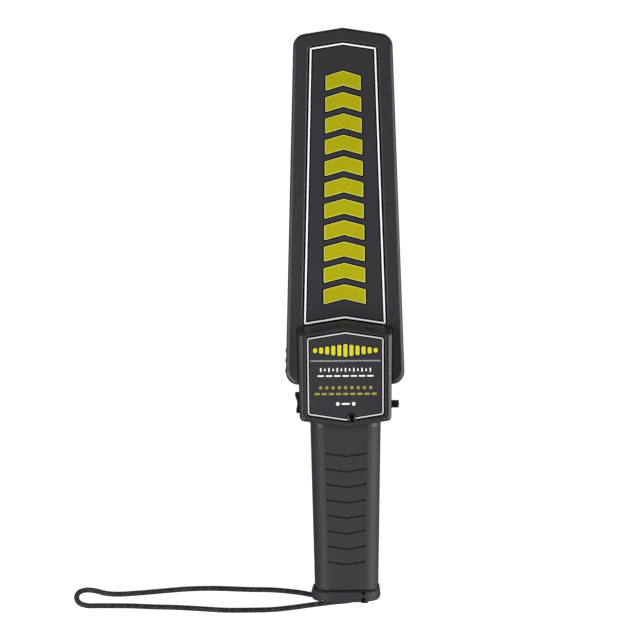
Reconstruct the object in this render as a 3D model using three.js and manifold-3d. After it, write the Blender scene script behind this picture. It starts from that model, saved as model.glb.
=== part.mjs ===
// A hand-held security metal detector wand, in millimetres, +Z up.
// It lies on its back. +Y runs along it to the paddle's tip, +X is to its right, and its printed
// front faces +Z. The origin is on the surface it lies on, under the middle of the body.
// Places along the wand are distances from the paddle's tip.
import * as THREE from "three";
import { mergeVertices } from "three/addons/utils/BufferGeometryUtils.js";
import Module from "manifold-3d";

const wasm = await Module();
wasm.setup();

// Paddle, the flat head that holds the search coils
const paddleLength = 256.5;
const paddleTopWidth = 70.8;
const paddleBottomWidth = 85.4;
const paddleThickness = 28;
const paddleCornerRadius = 8.2;
const paddleEdge = 1.6;
const chevronSlope = 0.155;
const peakRadius = 4;

// Mouldings
const wall = 2.4;
const frontWall = 3.4;
const partingHeight = 14;

// Box, the raised housing of the electronics, over the paddle's lower end
const boxHeight = 45;
const boxOverlap = 46.2;
const boxLength = 75.9;
const boxTopWidth = 67.4;
const boxBottomWidth = 65.4;
const boxBackWidth = 62.6;
const boxFaceTopWidth = 61;
const boxFaceBottomWidth = 60.4;
const boxFaceTopRun = 5.4;
const boxFaceBottomRun = 2.4;
const boxCornerRadius = 3.2;
const boxEdge = 0.9;

// Grip
const gripLength = 115.4;
const gripTopWidth = 50.2;
const gripEndWidth = 45.3;
const gripTopThickness = 34;
const gripEndThickness = 32.4;
const gripBack = 1.8;
const gripCornerRadius = 11;
const gripRoot = 14;
const grooveCount = 8;
const grooveStart = 20.7;
const groovePitch = 10.96;
const grooveFirstWidth = 29.4;
const grooveLastWidth = 26.8;
const grooveWidth = 1.1;
const grooveDepth = 0.7;

// Label plates, sunk in pockets
const pocketDepth = 1.3;
const plateThickness = 0.9;
const labelGap = 2.2;
const panelGap = 1;
const labelTop = 13.6;
const labelSideMargin = 12.2;
const labelToBox = 1.3;
const labelCornerRadius = 1.2;
const panelTopMargin = 2.7;
const panelSideMargin = 2.9;
const panelBottomMargin = 2.7;
const panelCornerRadius = 2;

// End cap, battery door and strap lug
const capLength = 7.6;
const capWidth = 49.2;
const capThickness = 36.2;
const capCornerRadius = 12;
const capEarHeight = 3.2;
const capEarRound = 0.6;
const earShare = 0.7;
const capShoulder = 1.5;
const capBottomEdge = 1.5;
const capPlugLength = 8;
const doorThickness = 2.2;
const doorMargin = 1.2;
const doorLip = 1;
const doorBack = 5.2;
const doorRidges = 3;
const doorRidgePitch = 2.4;
const doorRidgeWidth = 1.1;
const doorRidgeDepth = 0.4;
const lugHeight = 5.6;
const lugLength = 5;
const lugLeft = 12.3;
const lugLow = 1;
const lugHigh = 14.5;
const catchSize = 2.2;
const catchGap = 0.8;
const catchLeft = 13;
const catchDepth = 1;

// Battery, its tray and its contacts
const batteryWidth = 26.5;
const batteryThickness = 17.5;
const batteryLength = 46.4;
const batteryRadius = 2;
const batteryOffset = -3;
const batteryHeight = 18;
const studSpacing = 12.9;
const studLength = 2;
const smallStudRadius = 2.8;
const largeStudRadius = 3.9;
const contactLength = 1.8;
const contactWall = 0.8;
const contactBoardThickness = 1.5;
const trayWall = 1.3;
const trayGap = 0.35;
const trayEndGap = 1.6;

// Coils
const coilMargin = 10.5;
const coilTop = 27;
const formerStand = 5;
const formerPostInset = 35;
const coilToBox = 7.4;
const coilWidth = 5;
const coilHeight = 5;
const coilRadius = 12;
const formerThickness = 2;
const formerHeight = 6;
const formerFlange = 1.2;
const innerCoilGap = 5;

// Circuit board and what is on it
const boardWidth = 45;
const boardThickness = 1.6;
const boardHeight = 20;
const boardTopMargin = 12;
const boardBottomMargin = 9.2;
const boardPostRadius = 2.8;
const boardPostSideInset = 8.5;
const boardPostEndInset = 3.8;
const boardTabWidth = 18;
const coilHeaderWidth = 22;
const coilHeaderInset = 4;
const powerHeaderWidth = 11;
const powerHeaderInset = 8;
const powerHeaderX = -6.5;
const capacitorInset = 10.5;
const boardTabLength = 4.2;
const chipLength = 20;
const chipWidth = 6.4;
const chipHeight = 3.5;
const capacitorRadius = 3.2;
const capacitorHeight = 11;
const capacitorPitch = 9;
const transistorSize = 4.6;
const headerSize = 6;
const headerHeight = 5;
const trimmerSize = 6.6;
const trimmerHeight = 4;
const trimmerRotorRadius = 2;
const trimmerRotorHeight = 1;
const trimmerSlotWidth = 0.6;
const trimmerX = 4;
const trimmerInset = 12;

// Side controls
const controlHeight = 27;
const rockerPlace = 58.6;
const rockerLength = 15;
const rockerWidth = 8.4;
const rockerTopCrest = 3.1;
const rockerLowCrest = 2.2;
const rockerDip = 1.4;
const rockerPivotDepth = 2.4;
const rockerRoot = 1.2;
const rockerSwing = 1.4;
const rockerFootShare = 0.6;
const rockerShoulderShare = 0.62;
const rockerCrestShare = 0.8;
const switchDepth = 12;
const switchGap = 1.2;
const switchMargin = 1.5;
const buttonPlace = 60;
const buttonRadius = 2.75;
const buttonReach = 5.3;
const buttonTravel = 1.5;
const buttonRidges = 12;
const buttonRidgeDepth = 0.35;
const buttonHeadLength = 11;
const stemRadius = 1.1;
const stemLength = 4.6;
const buttonBodyLength = 8.5;
const buttonBodyWidth = 9.4;
const lensRadius = 2.75;
const lensAcross = 3.95;
const lensPlace = 7.2;
const lensProud = 0.9;
const lensShoulderShare = 0.6;
const ledRadius = 1.5;
const ledLength = 5;
const ledLegRadius = 0.35;
const ledLegSpacing = 2.54;

// Sounder behind the louvres in the paddle's left side
const louvreRibs = 3;
const louvrePitch = 7.2;
const louvreRibWidth = 2.8;
const louvreRibProud = 0.4;
const louvreSlotWidth = 2.6;
const louvreMargin = 5.5;
const louvreBar = 1.4;
const louvreFromPaddleEnd = 17.4;
const sounderRadius = 8.5;
const sounderThickness = 4.5;
const sounderNozzle = 3;
const nozzleShare = 0.6;
const sounderHeight = 13.5;

// Vibration motor
const motorRadius = 5;
const motorLength = 16;
const motorPlace = 15;
const motorShaftRadius = 0.75;
const motorShaftGrip = 3;
const weightRadius = 4.6;
const weightLength = 5;
const weightGap = 1.2;
const weightWeb = 0.6;

// Screws and the bosses they join
const screwRadius = 1.4;
const screwLength = 12;
const screwHeadRadius = 2.4;
const screwHeadHeight = 1.9;
const screwSeat = 9;
const screwSlotWidth = 0.8;
const slotDepthShare = 0.45;
const bossRadius = 3.3;
const bossBaseRadius = 4.4;
const gripScrewToTray = 12;
const capScrewInset = 8.65;
const tipScrewPlace = 18;
const tipScrewInset = 10.9;
const shoulderScrewInset = 6.3;
const boxScrewInset = 6.15;
const boxScrewShare = 0.55;
const capScrewLength = 8;
const smallScrewRadius = 1;
const smallScrewLength = 7;
const smallScrewHeadRadius = 2;
const smallScrewHeadHeight = 1.4;

// Leads and the wrist strap
const leadRadius = 0.7;
const leadEndGap = 0.4;
const leadStandoff = 1.7;
const coilLeadInset = 3;
const headerPitch = 4;
const sounderPadInset = 3;
const sounderPadOffset = 6;
const strapDiameter = 3.4;
const ribThickness = 1.6;

// Clearances, and how far a cutting tool runs past what it cuts
const clearance = 0.3;
const seatGap = 0.1;
const overrun = 2;
const leastRadius = 0.25;
const mergeDistance = 1e-4;

// Curves
const cornerSteps = 5;
const peakSteps = 2;
const capSteps = 3;
const roundSides = 16;
const smallSides = 8;
const leadSides = 5;
const strapSides = 8;
const leadStepShare = 2;
const strapSteps = 78;

// Distances from the tip that follow from the sizes above
const boxStart = paddleLength - boxOverlap;
const boxEnd = boxStart + boxLength;
const gripEnd = boxEnd + gripLength;
const capEnd = gripEnd + capLength;
const overallLength = capEnd + lugHeight;
const labelEnd = boxStart - labelToBox;
const plugStart = gripEnd - capPlugLength;
const batteryEnd = capEnd - doorThickness - seatGap - clearance;
const batteryStart = batteryEnd - batteryLength;
const contactFace = batteryStart - studLength - contactLength - clearance;
const contactBack = contactFace - contactBoardThickness;
const trayStart = contactBack - trayWall;
const trayEnd = plugStart - trayEndGap;
const boardTop = boxStart + boardTopMargin;
const boardBottom = boxEnd - boardBottomMargin;
const boardFace = boardHeight + boardThickness;
const capacitorAcross = boardWidth / 2 - capacitorInset;
const coilHeaderAt = boardTop + coilHeaderInset;
const powerHeaderAt = boardBottom - powerHeaderInset;
const trimmerAt = boardTop + trimmerInset;
const formerBase = wall + formerStand;
const capScrewAcross = gripEndWidth / 2 - capScrewInset;
const capScrewAt = plugStart + capPlugLength / 2;
const capScrewSeat = gripBack + smallScrewHeadHeight + seatGap;
const capScrewTop = capScrewSeat + capScrewLength;
const rockerAt = boxStart + rockerPlace;
const buttonAt = boxStart + buttonPlace;
const lensAt = boxEnd - lensPlace;
const sounderAt = paddleLength - louvreFromPaddleEnd;
const motorAt = boxEnd + motorPlace;

// The Y of a place that lies that far from the tip
const station = (distance) => overallLength / 2 - distance;

// The paddle's half width at a distance from the tip
function paddleHalf(distance) {
  const share = distance / paddleLength;
  return THREE.MathUtils.lerp(paddleTopWidth, paddleBottomWidth, share) / 2;
}

// The box's half width at a distance from the tip, below the break in its sides
function boxHalf(distance) {
  const share = (distance - boxStart) / boxLength;
  return THREE.MathUtils.lerp(boxTopWidth, boxBottomWidth, share) / 2;
}

// Colours and finishes
const finish = (color, roughness, metalness = 0) =>
  new THREE.MeshStandardMaterial({ color, roughness, metalness, flatShading: true });
const housingPlastic = finish("#39383d", 0.55);
const capPlastic = finish("#3a393e", 0.5);
const labelFilm = finish("#3b3a3f", 0.45);
const blackPlastic = finish("#141416", 0.35);
const lensPlastic = finish("#0b0b0d", 0.12);
const palePlastic = finish("#c9c6ba", 0.6);
const boardLaminate = finish("#1f5a38", 0.5);
const chipEpoxy = finish("#1b1b1d", 0.6);
const copperWire = finish("#a4522a", 0.35, 0.9);
const brass = finish("#b8944a", 0.3, 0.9);
const steel = finish("#8d9094", 0.35, 0.9);
const batteryWrap = finish("#4d4f55", 0.4);
const strapCord = finish("#262528", 0.9);
const redLead = finish("#a32620", 0.6);
const blackLead = finish("#1a1a1b", 0.6);

// Where two lines meet, each given by a point on it and its direction
function meeting(p, u, q, v) {
  const across = u.x * v.y - u.y * v.x;
  const reach = ((q.x - p.x) * v.y - (q.y - p.y) * v.x) / across;
  return p.clone().addScaledVector(u, reach);
}

// An outline with round corners, moved inwards by inset. The corners run anticlockwise, each as
// [x, y, radius, steps]. Outlines of one shape at different insets have equally many points.
function outline(corners, inset = 0) {
  const count = corners.length;
  const at = corners.map(([x, y]) => new THREE.Vector2(x, y));
  const along = at.map((p, i) => at[(i + 1) % count].clone().sub(p).normalize());
  const inward = along.map((u) => new THREE.Vector2(-u.y, u.x));
  const moved = at.map((p, i) => p.clone().addScaledVector(inward[i], inset));
  return corners.flatMap(([, , radius, steps], i) => {
    const before = (i + count - 1) % count;
    const sharp = meeting(moved[before], along[before], moved[i], along[i]);
    const turn = Math.atan2(along[before].cross(along[i]), along[before].dot(along[i]));
    const side = Math.sign(turn);
    const bend = Math.max(radius - side * inset, leastRadius);
    const start = sharp.clone().addScaledVector(along[before], -bend * Math.tan(Math.abs(turn) / 2));
    const centre = start.clone().addScaledVector(inward[before], side * bend);
    return Array.from({ length: steps + 1 }, (_, k) =>
      start.clone().rotateAround(centre, (turn * k) / steps),
    );
  });
}

// A closed body through outlines of equally many points. place(point, at) puts a point in space,
// with the outline's own x and y and the direction of growing at making a right-handed frame.
function loft(layers, place) {
  const count = layers[0].points.length;
  const position = layers.flatMap(({ points, at }) => points.flatMap((p) => place(p, at).toArray()));
  const index = [];
  for (let layer = 0; layer + 1 < layers.length; layer++)
    for (let i = 0; i < count; i++) {
      const a = layer * count + i;
      const b = layer * count + ((i + 1) % count);
      index.push(a, b, b + count, a, b + count, a + count);
    }
  const close = (points, first, facing) => {
    for (const [a, b, c] of THREE.ShapeUtils.triangulateShape(points, [])) {
      const turn = points[b].clone().sub(points[a]).cross(points[c].clone().sub(points[a]));
      const order = turn * facing > 0 ? [a, b, c] : [a, c, b];
      index.push(...order.map((k) => k + first));
    }
  };
  close(layers[0].points, 0, -1);
  close(layers.at(-1).points, (layers.length - 1) * count, 1);
  const geometry = new THREE.BufferGeometry();
  geometry.setAttribute("position", new THREE.Float32BufferAttribute(position, 3));
  geometry.setIndex(index);
  return solid(geometry);
}

const raise = (layers) => loft(layers, (p, at) => new THREE.Vector3(p.x, p.y, at));
const sweepDown = (layers) => loft(layers, (p, at) => new THREE.Vector3(p.x, station(at), p.y));

// A three.js geometry as a solid that can be cut and joined
function solid(geometry) {
  const bare = new THREE.BufferGeometry();
  bare.setAttribute("position", geometry.getAttribute("position"));
  if (geometry.index) bare.setIndex(geometry.index);
  const merged = mergeVertices(bare, mergeDistance);
  const vertProperties = merged.getAttribute("position").array;
  const triVerts = new Uint32Array(merged.index.array);
  return new wasm.Manifold(new wasm.Mesh({ numProp: 3, vertProperties, triVerts }));
}

const join = (first, ...others) => others.reduce((whole, piece) => whole.add(piece), first);
const cut = (first, ...others) => others.reduce((rest, tool) => rest.subtract(tool), first);

// A block between two corners
function block([x0, y0, z0], [x1, y1, z1]) {
  const geometry = new THREE.BoxGeometry(Math.abs(x1 - x0), Math.abs(y1 - y0), Math.abs(z1 - z0));
  return solid(geometry.translate((x0 + x1) / 2, (y0 + y1) / 2, (z0 + z1) / 2));
}

// A round rod from one height to another
function post(x, y, low, high, radius, sides = roundSides) {
  const geometry = new THREE.CylinderGeometry(radius, radius, high - low, sides).rotateX(Math.PI / 2);
  return solid(geometry.translate(x, y, (low + high) / 2));
}

// A round rod across the wand, from one x to another
function crossRod(y, z, left, right, radius, sides = roundSides) {
  const geometry = new THREE.CylinderGeometry(radius, radius, right - left, sides).rotateZ(-Math.PI / 2);
  return solid(geometry.translate((left + right) / 2, y, z));
}

// A round rod along the wand, between two distances from the tip
function longRod(x, z, from, to, radius, sides = roundSides) {
  const geometry = new THREE.CylinderGeometry(radius, radius, to - from, sides);
  return solid(geometry.translate(x, station((from + to) / 2), z));
}

// A round tube along hand-chosen points, each as [x, distance from the tip, z]
function tube(points, radius, sides, steps) {
  const path = new THREE.CatmullRomCurve3(
    points.map(([x, distance, z]) => new THREE.Vector3(x, station(distance), z)),
    false,
    "centripetal",
  );
  const section = new THREE.Shape();
  for (let side = 0; side < sides; side++) {
    const angle = (2 * Math.PI * side) / sides;
    const corner = new THREE.Vector2(radius * Math.cos(angle), radius * Math.sin(angle));
    if (side === 0) section.moveTo(corner.x, corner.y);
    else section.lineTo(corner.x, corner.y);
  }
  section.closePath();
  return solid(new THREE.ExtrudeGeometry(section, { steps, extrudePath: path, bevelEnabled: false }));
}

const wand = new THREE.Group();

// Adds a solid to the wand as a named mesh
function add(name, body, material, parent = wand) {
  const { vertProperties, triVerts } = body.getMesh();
  const geometry = new THREE.BufferGeometry();
  geometry.setAttribute("position", new THREE.BufferAttribute(vertProperties, 3));
  geometry.setIndex(new THREE.BufferAttribute(triVerts, 1));
  geometry.computeVertexNormals();
  const mesh = new THREE.Mesh(geometry, material);
  mesh.name = name;
  parent.add(mesh);
  return mesh;
}

// The corners of a tapering outline with chevron ends. top and bottom are the distances of the
// middles of its ends, and topRise and bottomRise how much further its corners lie from the tip.
function shield({ top, bottom, topWidth, bottomWidth, topRise, bottomRise, topRadius, bottomRadius }) {
  const topY = station(top + topRise);
  const bottomY = station(bottom + bottomRise);
  const foot = bottomRise === 0 ? [] : [[0, station(bottom), peakRadius, peakSteps]];
  return [
    [0, station(top), peakRadius, peakSteps],
    [-topWidth / 2, topY, topRadius, cornerSteps],
    [-bottomWidth / 2, bottomY, bottomRadius, cornerSteps],
    ...foot,
    [bottomWidth / 2, bottomY, bottomRadius, cornerSteps],
    [topWidth / 2, topY, topRadius, cornerSteps],
  ];
}

const rise = (width) => (chevronSlope * width) / 2;

const paddleShape = shield({
  top: 0,
  bottom: paddleLength,
  topWidth: paddleTopWidth,
  bottomWidth: paddleBottomWidth,
  topRise: rise(paddleTopWidth),
  bottomRise: 0,
  topRadius: paddleCornerRadius,
  bottomRadius: paddleCornerRadius,
});

// The box's outline at its back, at its foot on the paddle's face, and at its own face
function boxShape(top, bottom, topWidth, bottomWidth) {
  return shield({
    top,
    bottom,
    topWidth,
    bottomWidth,
    topRise: rise(topWidth),
    bottomRise: -rise(bottomWidth),
    topRadius: boxCornerRadius,
    bottomRadius: boxCornerRadius,
  });
}
const boxBack = boxShape(boxStart, boxEnd, boxBackWidth, boxBackWidth);
const boxFoot = boxShape(boxStart, boxEnd, boxTopWidth, boxBottomWidth);
const boxFace = boxShape(
  boxStart + boxFaceTopRun,
  boxEnd - boxFaceBottomRun,
  boxFaceTopWidth,
  boxFaceBottomWidth,
);

// The label plates' outlines
const labelHalf = (distance) => paddleHalf(distance) - labelSideMargin;
const labelShape = shield({
  top: labelTop,
  bottom: labelEnd,
  topWidth: 2 * labelHalf(labelTop),
  bottomWidth: 2 * labelHalf(labelEnd),
  topRise: rise(2 * labelHalf(labelTop)),
  bottomRise: rise(2 * labelHalf(labelEnd)),
  topRadius: labelCornerRadius,
  bottomRadius: labelCornerRadius,
});
const panelShape = shield({
  top: boxStart + boxFaceTopRun + panelTopMargin,
  bottom: boxEnd - boxFaceBottomRun - panelBottomMargin,
  topWidth: boxFaceTopWidth - 2 * panelSideMargin,
  bottomWidth: boxFaceBottomWidth - 2 * panelSideMargin,
  topRise: rise(boxFaceTopWidth - 2 * panelSideMargin),
  bottomRise: -rise(boxFaceBottomWidth - 2 * panelSideMargin),
  topRadius: panelCornerRadius,
  bottomRadius: panelCornerRadius,
});

// The grip's section at a distance from the tip, moved inwards by inset
function gripSection(distance, inset = 0) {
  const share = (distance - boxEnd) / gripLength;
  const half = THREE.MathUtils.lerp(gripTopWidth, gripEndWidth, share) / 2;
  const front = gripBack + THREE.MathUtils.lerp(gripTopThickness, gripEndThickness, share);
  const corner = (x, z) => [x, z, gripCornerRadius, cornerSteps];
  return outline([corner(-half, gripBack), corner(half, gripBack), corner(half, front), corner(-half, front)], inset);
}
const gripLayer = (distance, inset) => ({ at: distance, points: gripSection(distance, inset) });
const gripFront = (distance) =>
  gripBack + THREE.MathUtils.lerp(gripTopThickness, gripEndThickness, (distance - boxEnd) / gripLength);

// The outer forms that the two housings share, and the hollow inside them
function makePaddleForm() {
  return raise([
    { at: 0, points: outline(paddleShape, paddleEdge) },
    { at: paddleEdge, points: outline(paddleShape) },
    { at: paddleThickness - paddleEdge, points: outline(paddleShape) },
    { at: paddleThickness, points: outline(paddleShape, paddleEdge) },
  ]);
}

function makeBoxForm() {
  return raise([
    { at: 0, points: outline(boxBack, boxEdge) },
    { at: boxEdge, points: outline(boxBack) },
    { at: partingHeight, points: outline(boxFoot) },
    { at: paddleThickness, points: outline(boxFoot) },
    { at: boxHeight - boxEdge, points: outline(boxFace) },
    { at: boxHeight, points: outline(boxFace, boxEdge) },
  ]);
}

const makeGripForm = () => sweepDown([gripLayer(boxEnd - gripRoot), gripLayer(gripEnd)]);

function hollow() {
  const paddleRoom = raise([
    { at: wall, points: outline(paddleShape, wall) },
    { at: paddleThickness - frontWall, points: outline(paddleShape, wall) },
  ]);
  const boxRoom = raise([
    { at: wall, points: outline(boxBack, wall) },
    { at: partingHeight, points: outline(boxFoot, wall) },
    { at: paddleThickness, points: outline(boxFoot, wall) },
    { at: boxHeight - frontWall, points: outline(boxFace, wall) },
  ]);
  const gripRoom = sweepDown([gripLayer(boxEnd - gripRoot, wall), gripLayer(gripEnd + overrun, wall)]);
  return join(paddleRoom, boxRoom, gripRoom);
}

const boxForm = makeBoxForm();
const form = join(makePaddleForm(), boxForm, makeGripForm());
const room = hollow();
const reachAcross = paddleBottomWidth;
const upperSpace = block(
  [-reachAcross, station(overallLength), partingHeight],
  [reachAcross, station(-overrun), boxHeight + overrun],
);
const lowerSpace = block(
  [-reachAcross, station(overallLength), -overrun],
  [reachAcross, station(-overrun), partingHeight - seatGap],
);

// Chevron grooves across the grip's face, one after another down the grip
function gripGrooves(onFront) {
  const tools = [];
  for (let groove = 0; groove < grooveCount; groove++) {
    const middle = boxEnd + grooveStart + groove * groovePitch;
    const share = groove / (grooveCount - 1);
    const half = THREE.MathUtils.lerp(grooveFirstWidth, grooveLastWidth, share) / 2;
    const ends = middle - chevronSlope * half;
    const face = onFront ? gripFront(middle) : gripBack;
    const bottom = onFront ? face - grooveDepth : face + grooveDepth;
    const above = onFront ? face + overrun : face - overrun;
    const band = new THREE.Shape(
      [
        [-half, ends - grooveWidth / 2],
        [0, middle - grooveWidth / 2],
        [half, ends - grooveWidth / 2],
        [half, ends + grooveWidth / 2],
        [0, middle + grooveWidth / 2],
        [-half, ends + grooveWidth / 2],
      ].map(([x, distance]) => new THREE.Vector2(x, station(distance))),
    );
    const depth = Math.abs(above - bottom);
    const geometry = new THREE.ExtrudeGeometry(band, { depth, bevelEnabled: false });
    tools.push(solid(geometry.translate(0, 0, Math.min(above, bottom))));
  }
  return tools;
}

// Ribs of the sounder's louvre on the paddle's left side, and the slots between them
function louvre() {
  const high = paddleThickness - louvreMargin;
  const ribs = [];
  const slots = [];
  for (let rib = 0; rib < louvreRibs; rib++) {
    const at = sounderAt + (rib - (louvreRibs - 1) / 2) * louvrePitch;
    const side = -paddleHalf(at);
    ribs.push(
      block(
        [side - louvreRibProud, station(at + louvreRibWidth / 2), partingHeight],
        [side + wall / 2, station(at - louvreRibWidth / 2), high + louvreBar],
      ),
    );
  }
  for (let slot = 0; slot < louvreRibs - 1; slot++) {
    const at = sounderAt + (slot - (louvreRibs - 2) / 2) * louvrePitch;
    const side = -paddleHalf(at);
    slots.push(
      block(
        [side - overrun, station(at + louvreSlotWidth / 2), partingHeight + louvreBar],
        [side + wall + overrun, station(at - louvreSlotWidth / 2), high],
      ),
    );
  }
  return { ribs, slots };
}

// Where the housing screws go, as [across, distance from the tip]
const shoulderScrewPlace = boxStart - bossRadius - clearance;
const boxScrewPlace = boxStart + boxScrewShare * boxLength;
const tipScrewAcross = paddleHalf(tipScrewPlace) - tipScrewInset;
const shoulderScrewAcross = paddleHalf(shoulderScrewPlace) - shoulderScrewInset;
const boxScrewAcross = boxHalf(boxScrewPlace) - boxScrewInset;
const gripScrewPlace = trayStart - gripScrewToTray;
const housingScrews = [
  [-tipScrewAcross, tipScrewPlace],
  [tipScrewAcross, tipScrewPlace],
  [-shoulderScrewAcross, shoulderScrewPlace],
  [shoulderScrewAcross, shoulderScrewPlace],
  [-boxScrewAcross, boxScrewPlace],
  [boxScrewAcross, boxScrewPlace],
  [0, gripScrewPlace],
];
const trayRibShares = [0.2, 0.8];
const trayRibs = trayRibShares.map((share) => THREE.MathUtils.lerp(trayStart, trayEnd, share));
const trayHalfHeight = batteryThickness / 2 + trayGap + trayWall;
const boardPosts = [
  [-1, 1],
  [1, 1],
  [-1, -1],
  [1, -1],
].map(([side, end]) => [
  side * (boardWidth / 2 - boardPostSideInset),
  (boardTop + boardBottom) / 2 - end * ((boardBottom - boardTop) / 2 - boardPostEndInset),
]);
const motorRibShares = [0.2, 0.8];
const formerPosts = [
  [0, coilTop + formerPostInset],
  [0, boxStart - coilToBox - formerPostInset],
];
const sounderFace = wall + clearance - paddleHalf(sounderAt);
const rockerWall = -boxHalf(rockerAt);
const buttonWall = boxHalf(buttonAt);

// A pocket for a label plate, sunk in a face at that height
const pocket = (shape, gap, face) =>
  raise([
    { at: face - pocketDepth, points: outline(shape, -gap) },
    { at: face + overrun, points: outline(shape, -gap) },
  ]);

function makeFrontHousing() {
  const { ribs, slots } = louvre();
  const shell = cut(join(form, ...ribs).intersect(upperSpace), room);
  const bosses = housingScrews.map(([x, distance]) =>
    post(x, station(distance), partingHeight, boxHeight, bossRadius).intersect(form),
  );
  const holders = trayRibs.map((distance) =>
    block(
      [-gripTopWidth, station(distance + ribThickness / 2), batteryHeight + trayHalfHeight + seatGap],
      [gripTopWidth, station(distance - ribThickness / 2), boxHeight],
    ).intersect(form),
  );
  const pilotTop = screwSeat + screwLength + clearance;
  const pilots = housingScrews.map(([x, distance]) =>
    post(x, station(distance), 0, pilotTop, screwRadius + seatGap, smallSides),
  );
  const lensBottom = boxHeight - frontWall - overrun;
  const lensHole = post(lensAcross, station(lensAt), lensBottom, boxHeight + overrun, lensRadius + seatGap);
  const rockerHole = block(
    [
      rockerWall - overrun,
      station(rockerAt + rockerLength / 2 + 2 * clearance),
      controlHeight - rockerWidth / 2 - clearance,
    ],
    [
      rockerWall + wall + overrun,
      station(rockerAt - rockerLength / 2 - 2 * clearance),
      controlHeight + rockerWidth / 2 + clearance,
    ],
  );
  const holeRadius = buttonRadius + clearance;
  const buttonHole = crossRod(station(buttonAt), controlHeight, buttonWall - wall - overrun, buttonWall + overrun, holeRadius);
  const body = cut(
    join(shell, ...bosses, ...holders),
    ...pilots,
    cut(pocket(labelShape, labelGap, paddleThickness), boxForm),
    pocket(panelShape, panelGap, boxHeight),
    lensHole,
    rockerHole,
    buttonHole,
    ...slots,
    ...gripGrooves(true),
  );
  add("front_housing", body, housingPlastic);
}

// A rib across the grip with a round seat for the motor
function motorCradle(distance) {
  const half = motorRadius + wall;
  const plate = block(
    [-half, station(distance + ribThickness / 2), 0],
    [half, station(distance - ribThickness / 2), batteryHeight],
  );
  return plate.intersect(form);
}

// A block under the sounder with a round seat for it
function sounderCradle() {
  const left = sounderFace + sounderNozzle;
  return block(
    [left + seatGap, station(sounderAt + sounderRadius), 0],
    [left + sounderThickness - seatGap, station(sounderAt - sounderRadius), sounderHeight - sounderRadius / 2],
  ).intersect(form);
}

function makeRearHousing() {
  const shell = cut(form.intersect(lowerSpace), room);
  const bosses = housingScrews.map(([x, distance]) =>
    post(x, station(distance), 0, partingHeight - seatGap, bossBaseRadius).intersect(form),
  );
  const sinks = housingScrews.map(([x, distance]) =>
    post(x, station(distance), -overrun, screwSeat, screwHeadRadius + clearance),
  );
  const passages = housingScrews.map(([x, distance]) =>
    post(x, station(distance), 0, partingHeight, screwRadius + clearance, smallSides),
  );
  const boardColumns = boardPosts.map(([x, distance]) =>
    post(x, station(distance), wall / 2, boardHeight - seatGap, boardPostRadius),
  );
  const boardPilots = boardPosts.map(([x, distance]) =>
    post(x, station(distance), boardFace - smallScrewLength - clearance, boardFace, smallScrewRadius + seatGap, smallSides),
  );
  const formerColumns = formerPosts.map(([x, distance]) =>
    post(x, station(distance), wall / 2, formerBase - seatGap, boardPostRadius),
  );
  const formerPilots = formerPosts.map(([x, distance]) =>
    post(x, station(distance), wall / 2 + clearance, formerBase, smallScrewRadius + seatGap, smallSides),
  );
  const holders = trayRibs.map((distance) =>
    block(
      [-gripTopWidth, station(distance + ribThickness / 2), 0],
      [gripTopWidth, station(distance - ribThickness / 2), batteryHeight - trayHalfHeight - seatGap],
    ).intersect(form),
  );
  const cradles = motorRibShares.map((share) => motorCradle(motorAt + (share - 0.5) * motorLength));
  const seat = longRod(0, batteryHeight, motorAt - motorLength, motorAt + motorLength, motorRadius + seatGap);
  const sounderSeat = crossRod(
    station(sounderAt),
    sounderHeight,
    sounderFace,
    sounderFace + sounderNozzle + sounderThickness + overrun,
    sounderRadius + seatGap,
  );
  const trimmerHole = post(trimmerX, station(trimmerAt), -overrun, wall + overrun, trimmerRotorRadius);
  const capScrewY = station(capScrewAt);
  const capSink = post(capScrewAcross, capScrewY, -overrun, capScrewSeat, smallScrewHeadRadius + clearance);
  const capPassage = post(capScrewAcross, capScrewY, 0, boxHeight / 2, smallScrewRadius + clearance, smallSides);
  const body = cut(
    join(
      shell,
      ...bosses,
      ...boardColumns,
      ...formerColumns,
      ...holders,
      cut(join(...cradles), seat),
      cut(sounderCradle(), sounderSeat),
    ),
    ...sinks,
    ...passages,
    ...boardPilots,
    ...formerPilots,
    trimmerHole,
    capSink,
    capPassage,
    ...gripGrooves(false),
  );
  add("rear_housing", body, housingPlastic);
}

// A flat plate between two heights
const plate = (shape, inset, low, high) =>
  raise([
    { at: low, points: outline(shape, inset) },
    { at: high, points: outline(shape, inset) },
  ]);

function makeLabels() {
  const labelBack = paddleThickness - pocketDepth + seatGap;
  add("paddle_label", plate(labelShape, 0, labelBack, labelBack + plateThickness), labelFilm);
  const panelBack = boxHeight - pocketDepth + seatGap;
  const aroundLens = post(lensAcross, station(lensAt), panelBack - overrun, boxHeight + overrun, lensRadius + clearance);
  const panel = plate(panelShape, 0, panelBack, panelBack + plateThickness);
  add("panel_label", cut(panel, aroundLens), labelFilm);
}

// A slotted screw whose head rests on a seat, pointing up or down
function screw(name, x, distance, seat, sizes, upwards) {
  const { radius, length, headRadius, headHeight } = sizes;
  const way = upwards ? 1 : -1;
  const between = (a, b, r, sides) =>
    post(x, station(distance), seat + Math.min(way * a, way * b), seat + Math.max(way * a, way * b), r, sides);
  const head = between(-headHeight, 0, headRadius - seatGap, roundSides);
  const shank = between(-headHeight / 2, length, radius, smallSides);
  const slotEnd = seat - way * headHeight;
  const slot = block(
    [x - headRadius, station(distance) - screwSlotWidth / 2, slotEnd - way * overrun],
    [x + headRadius, station(distance) + screwSlotWidth / 2, slotEnd + way * headHeight * slotDepthShare],
  );
  add(name, cut(join(head, shank), slot), steel);
}

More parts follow.
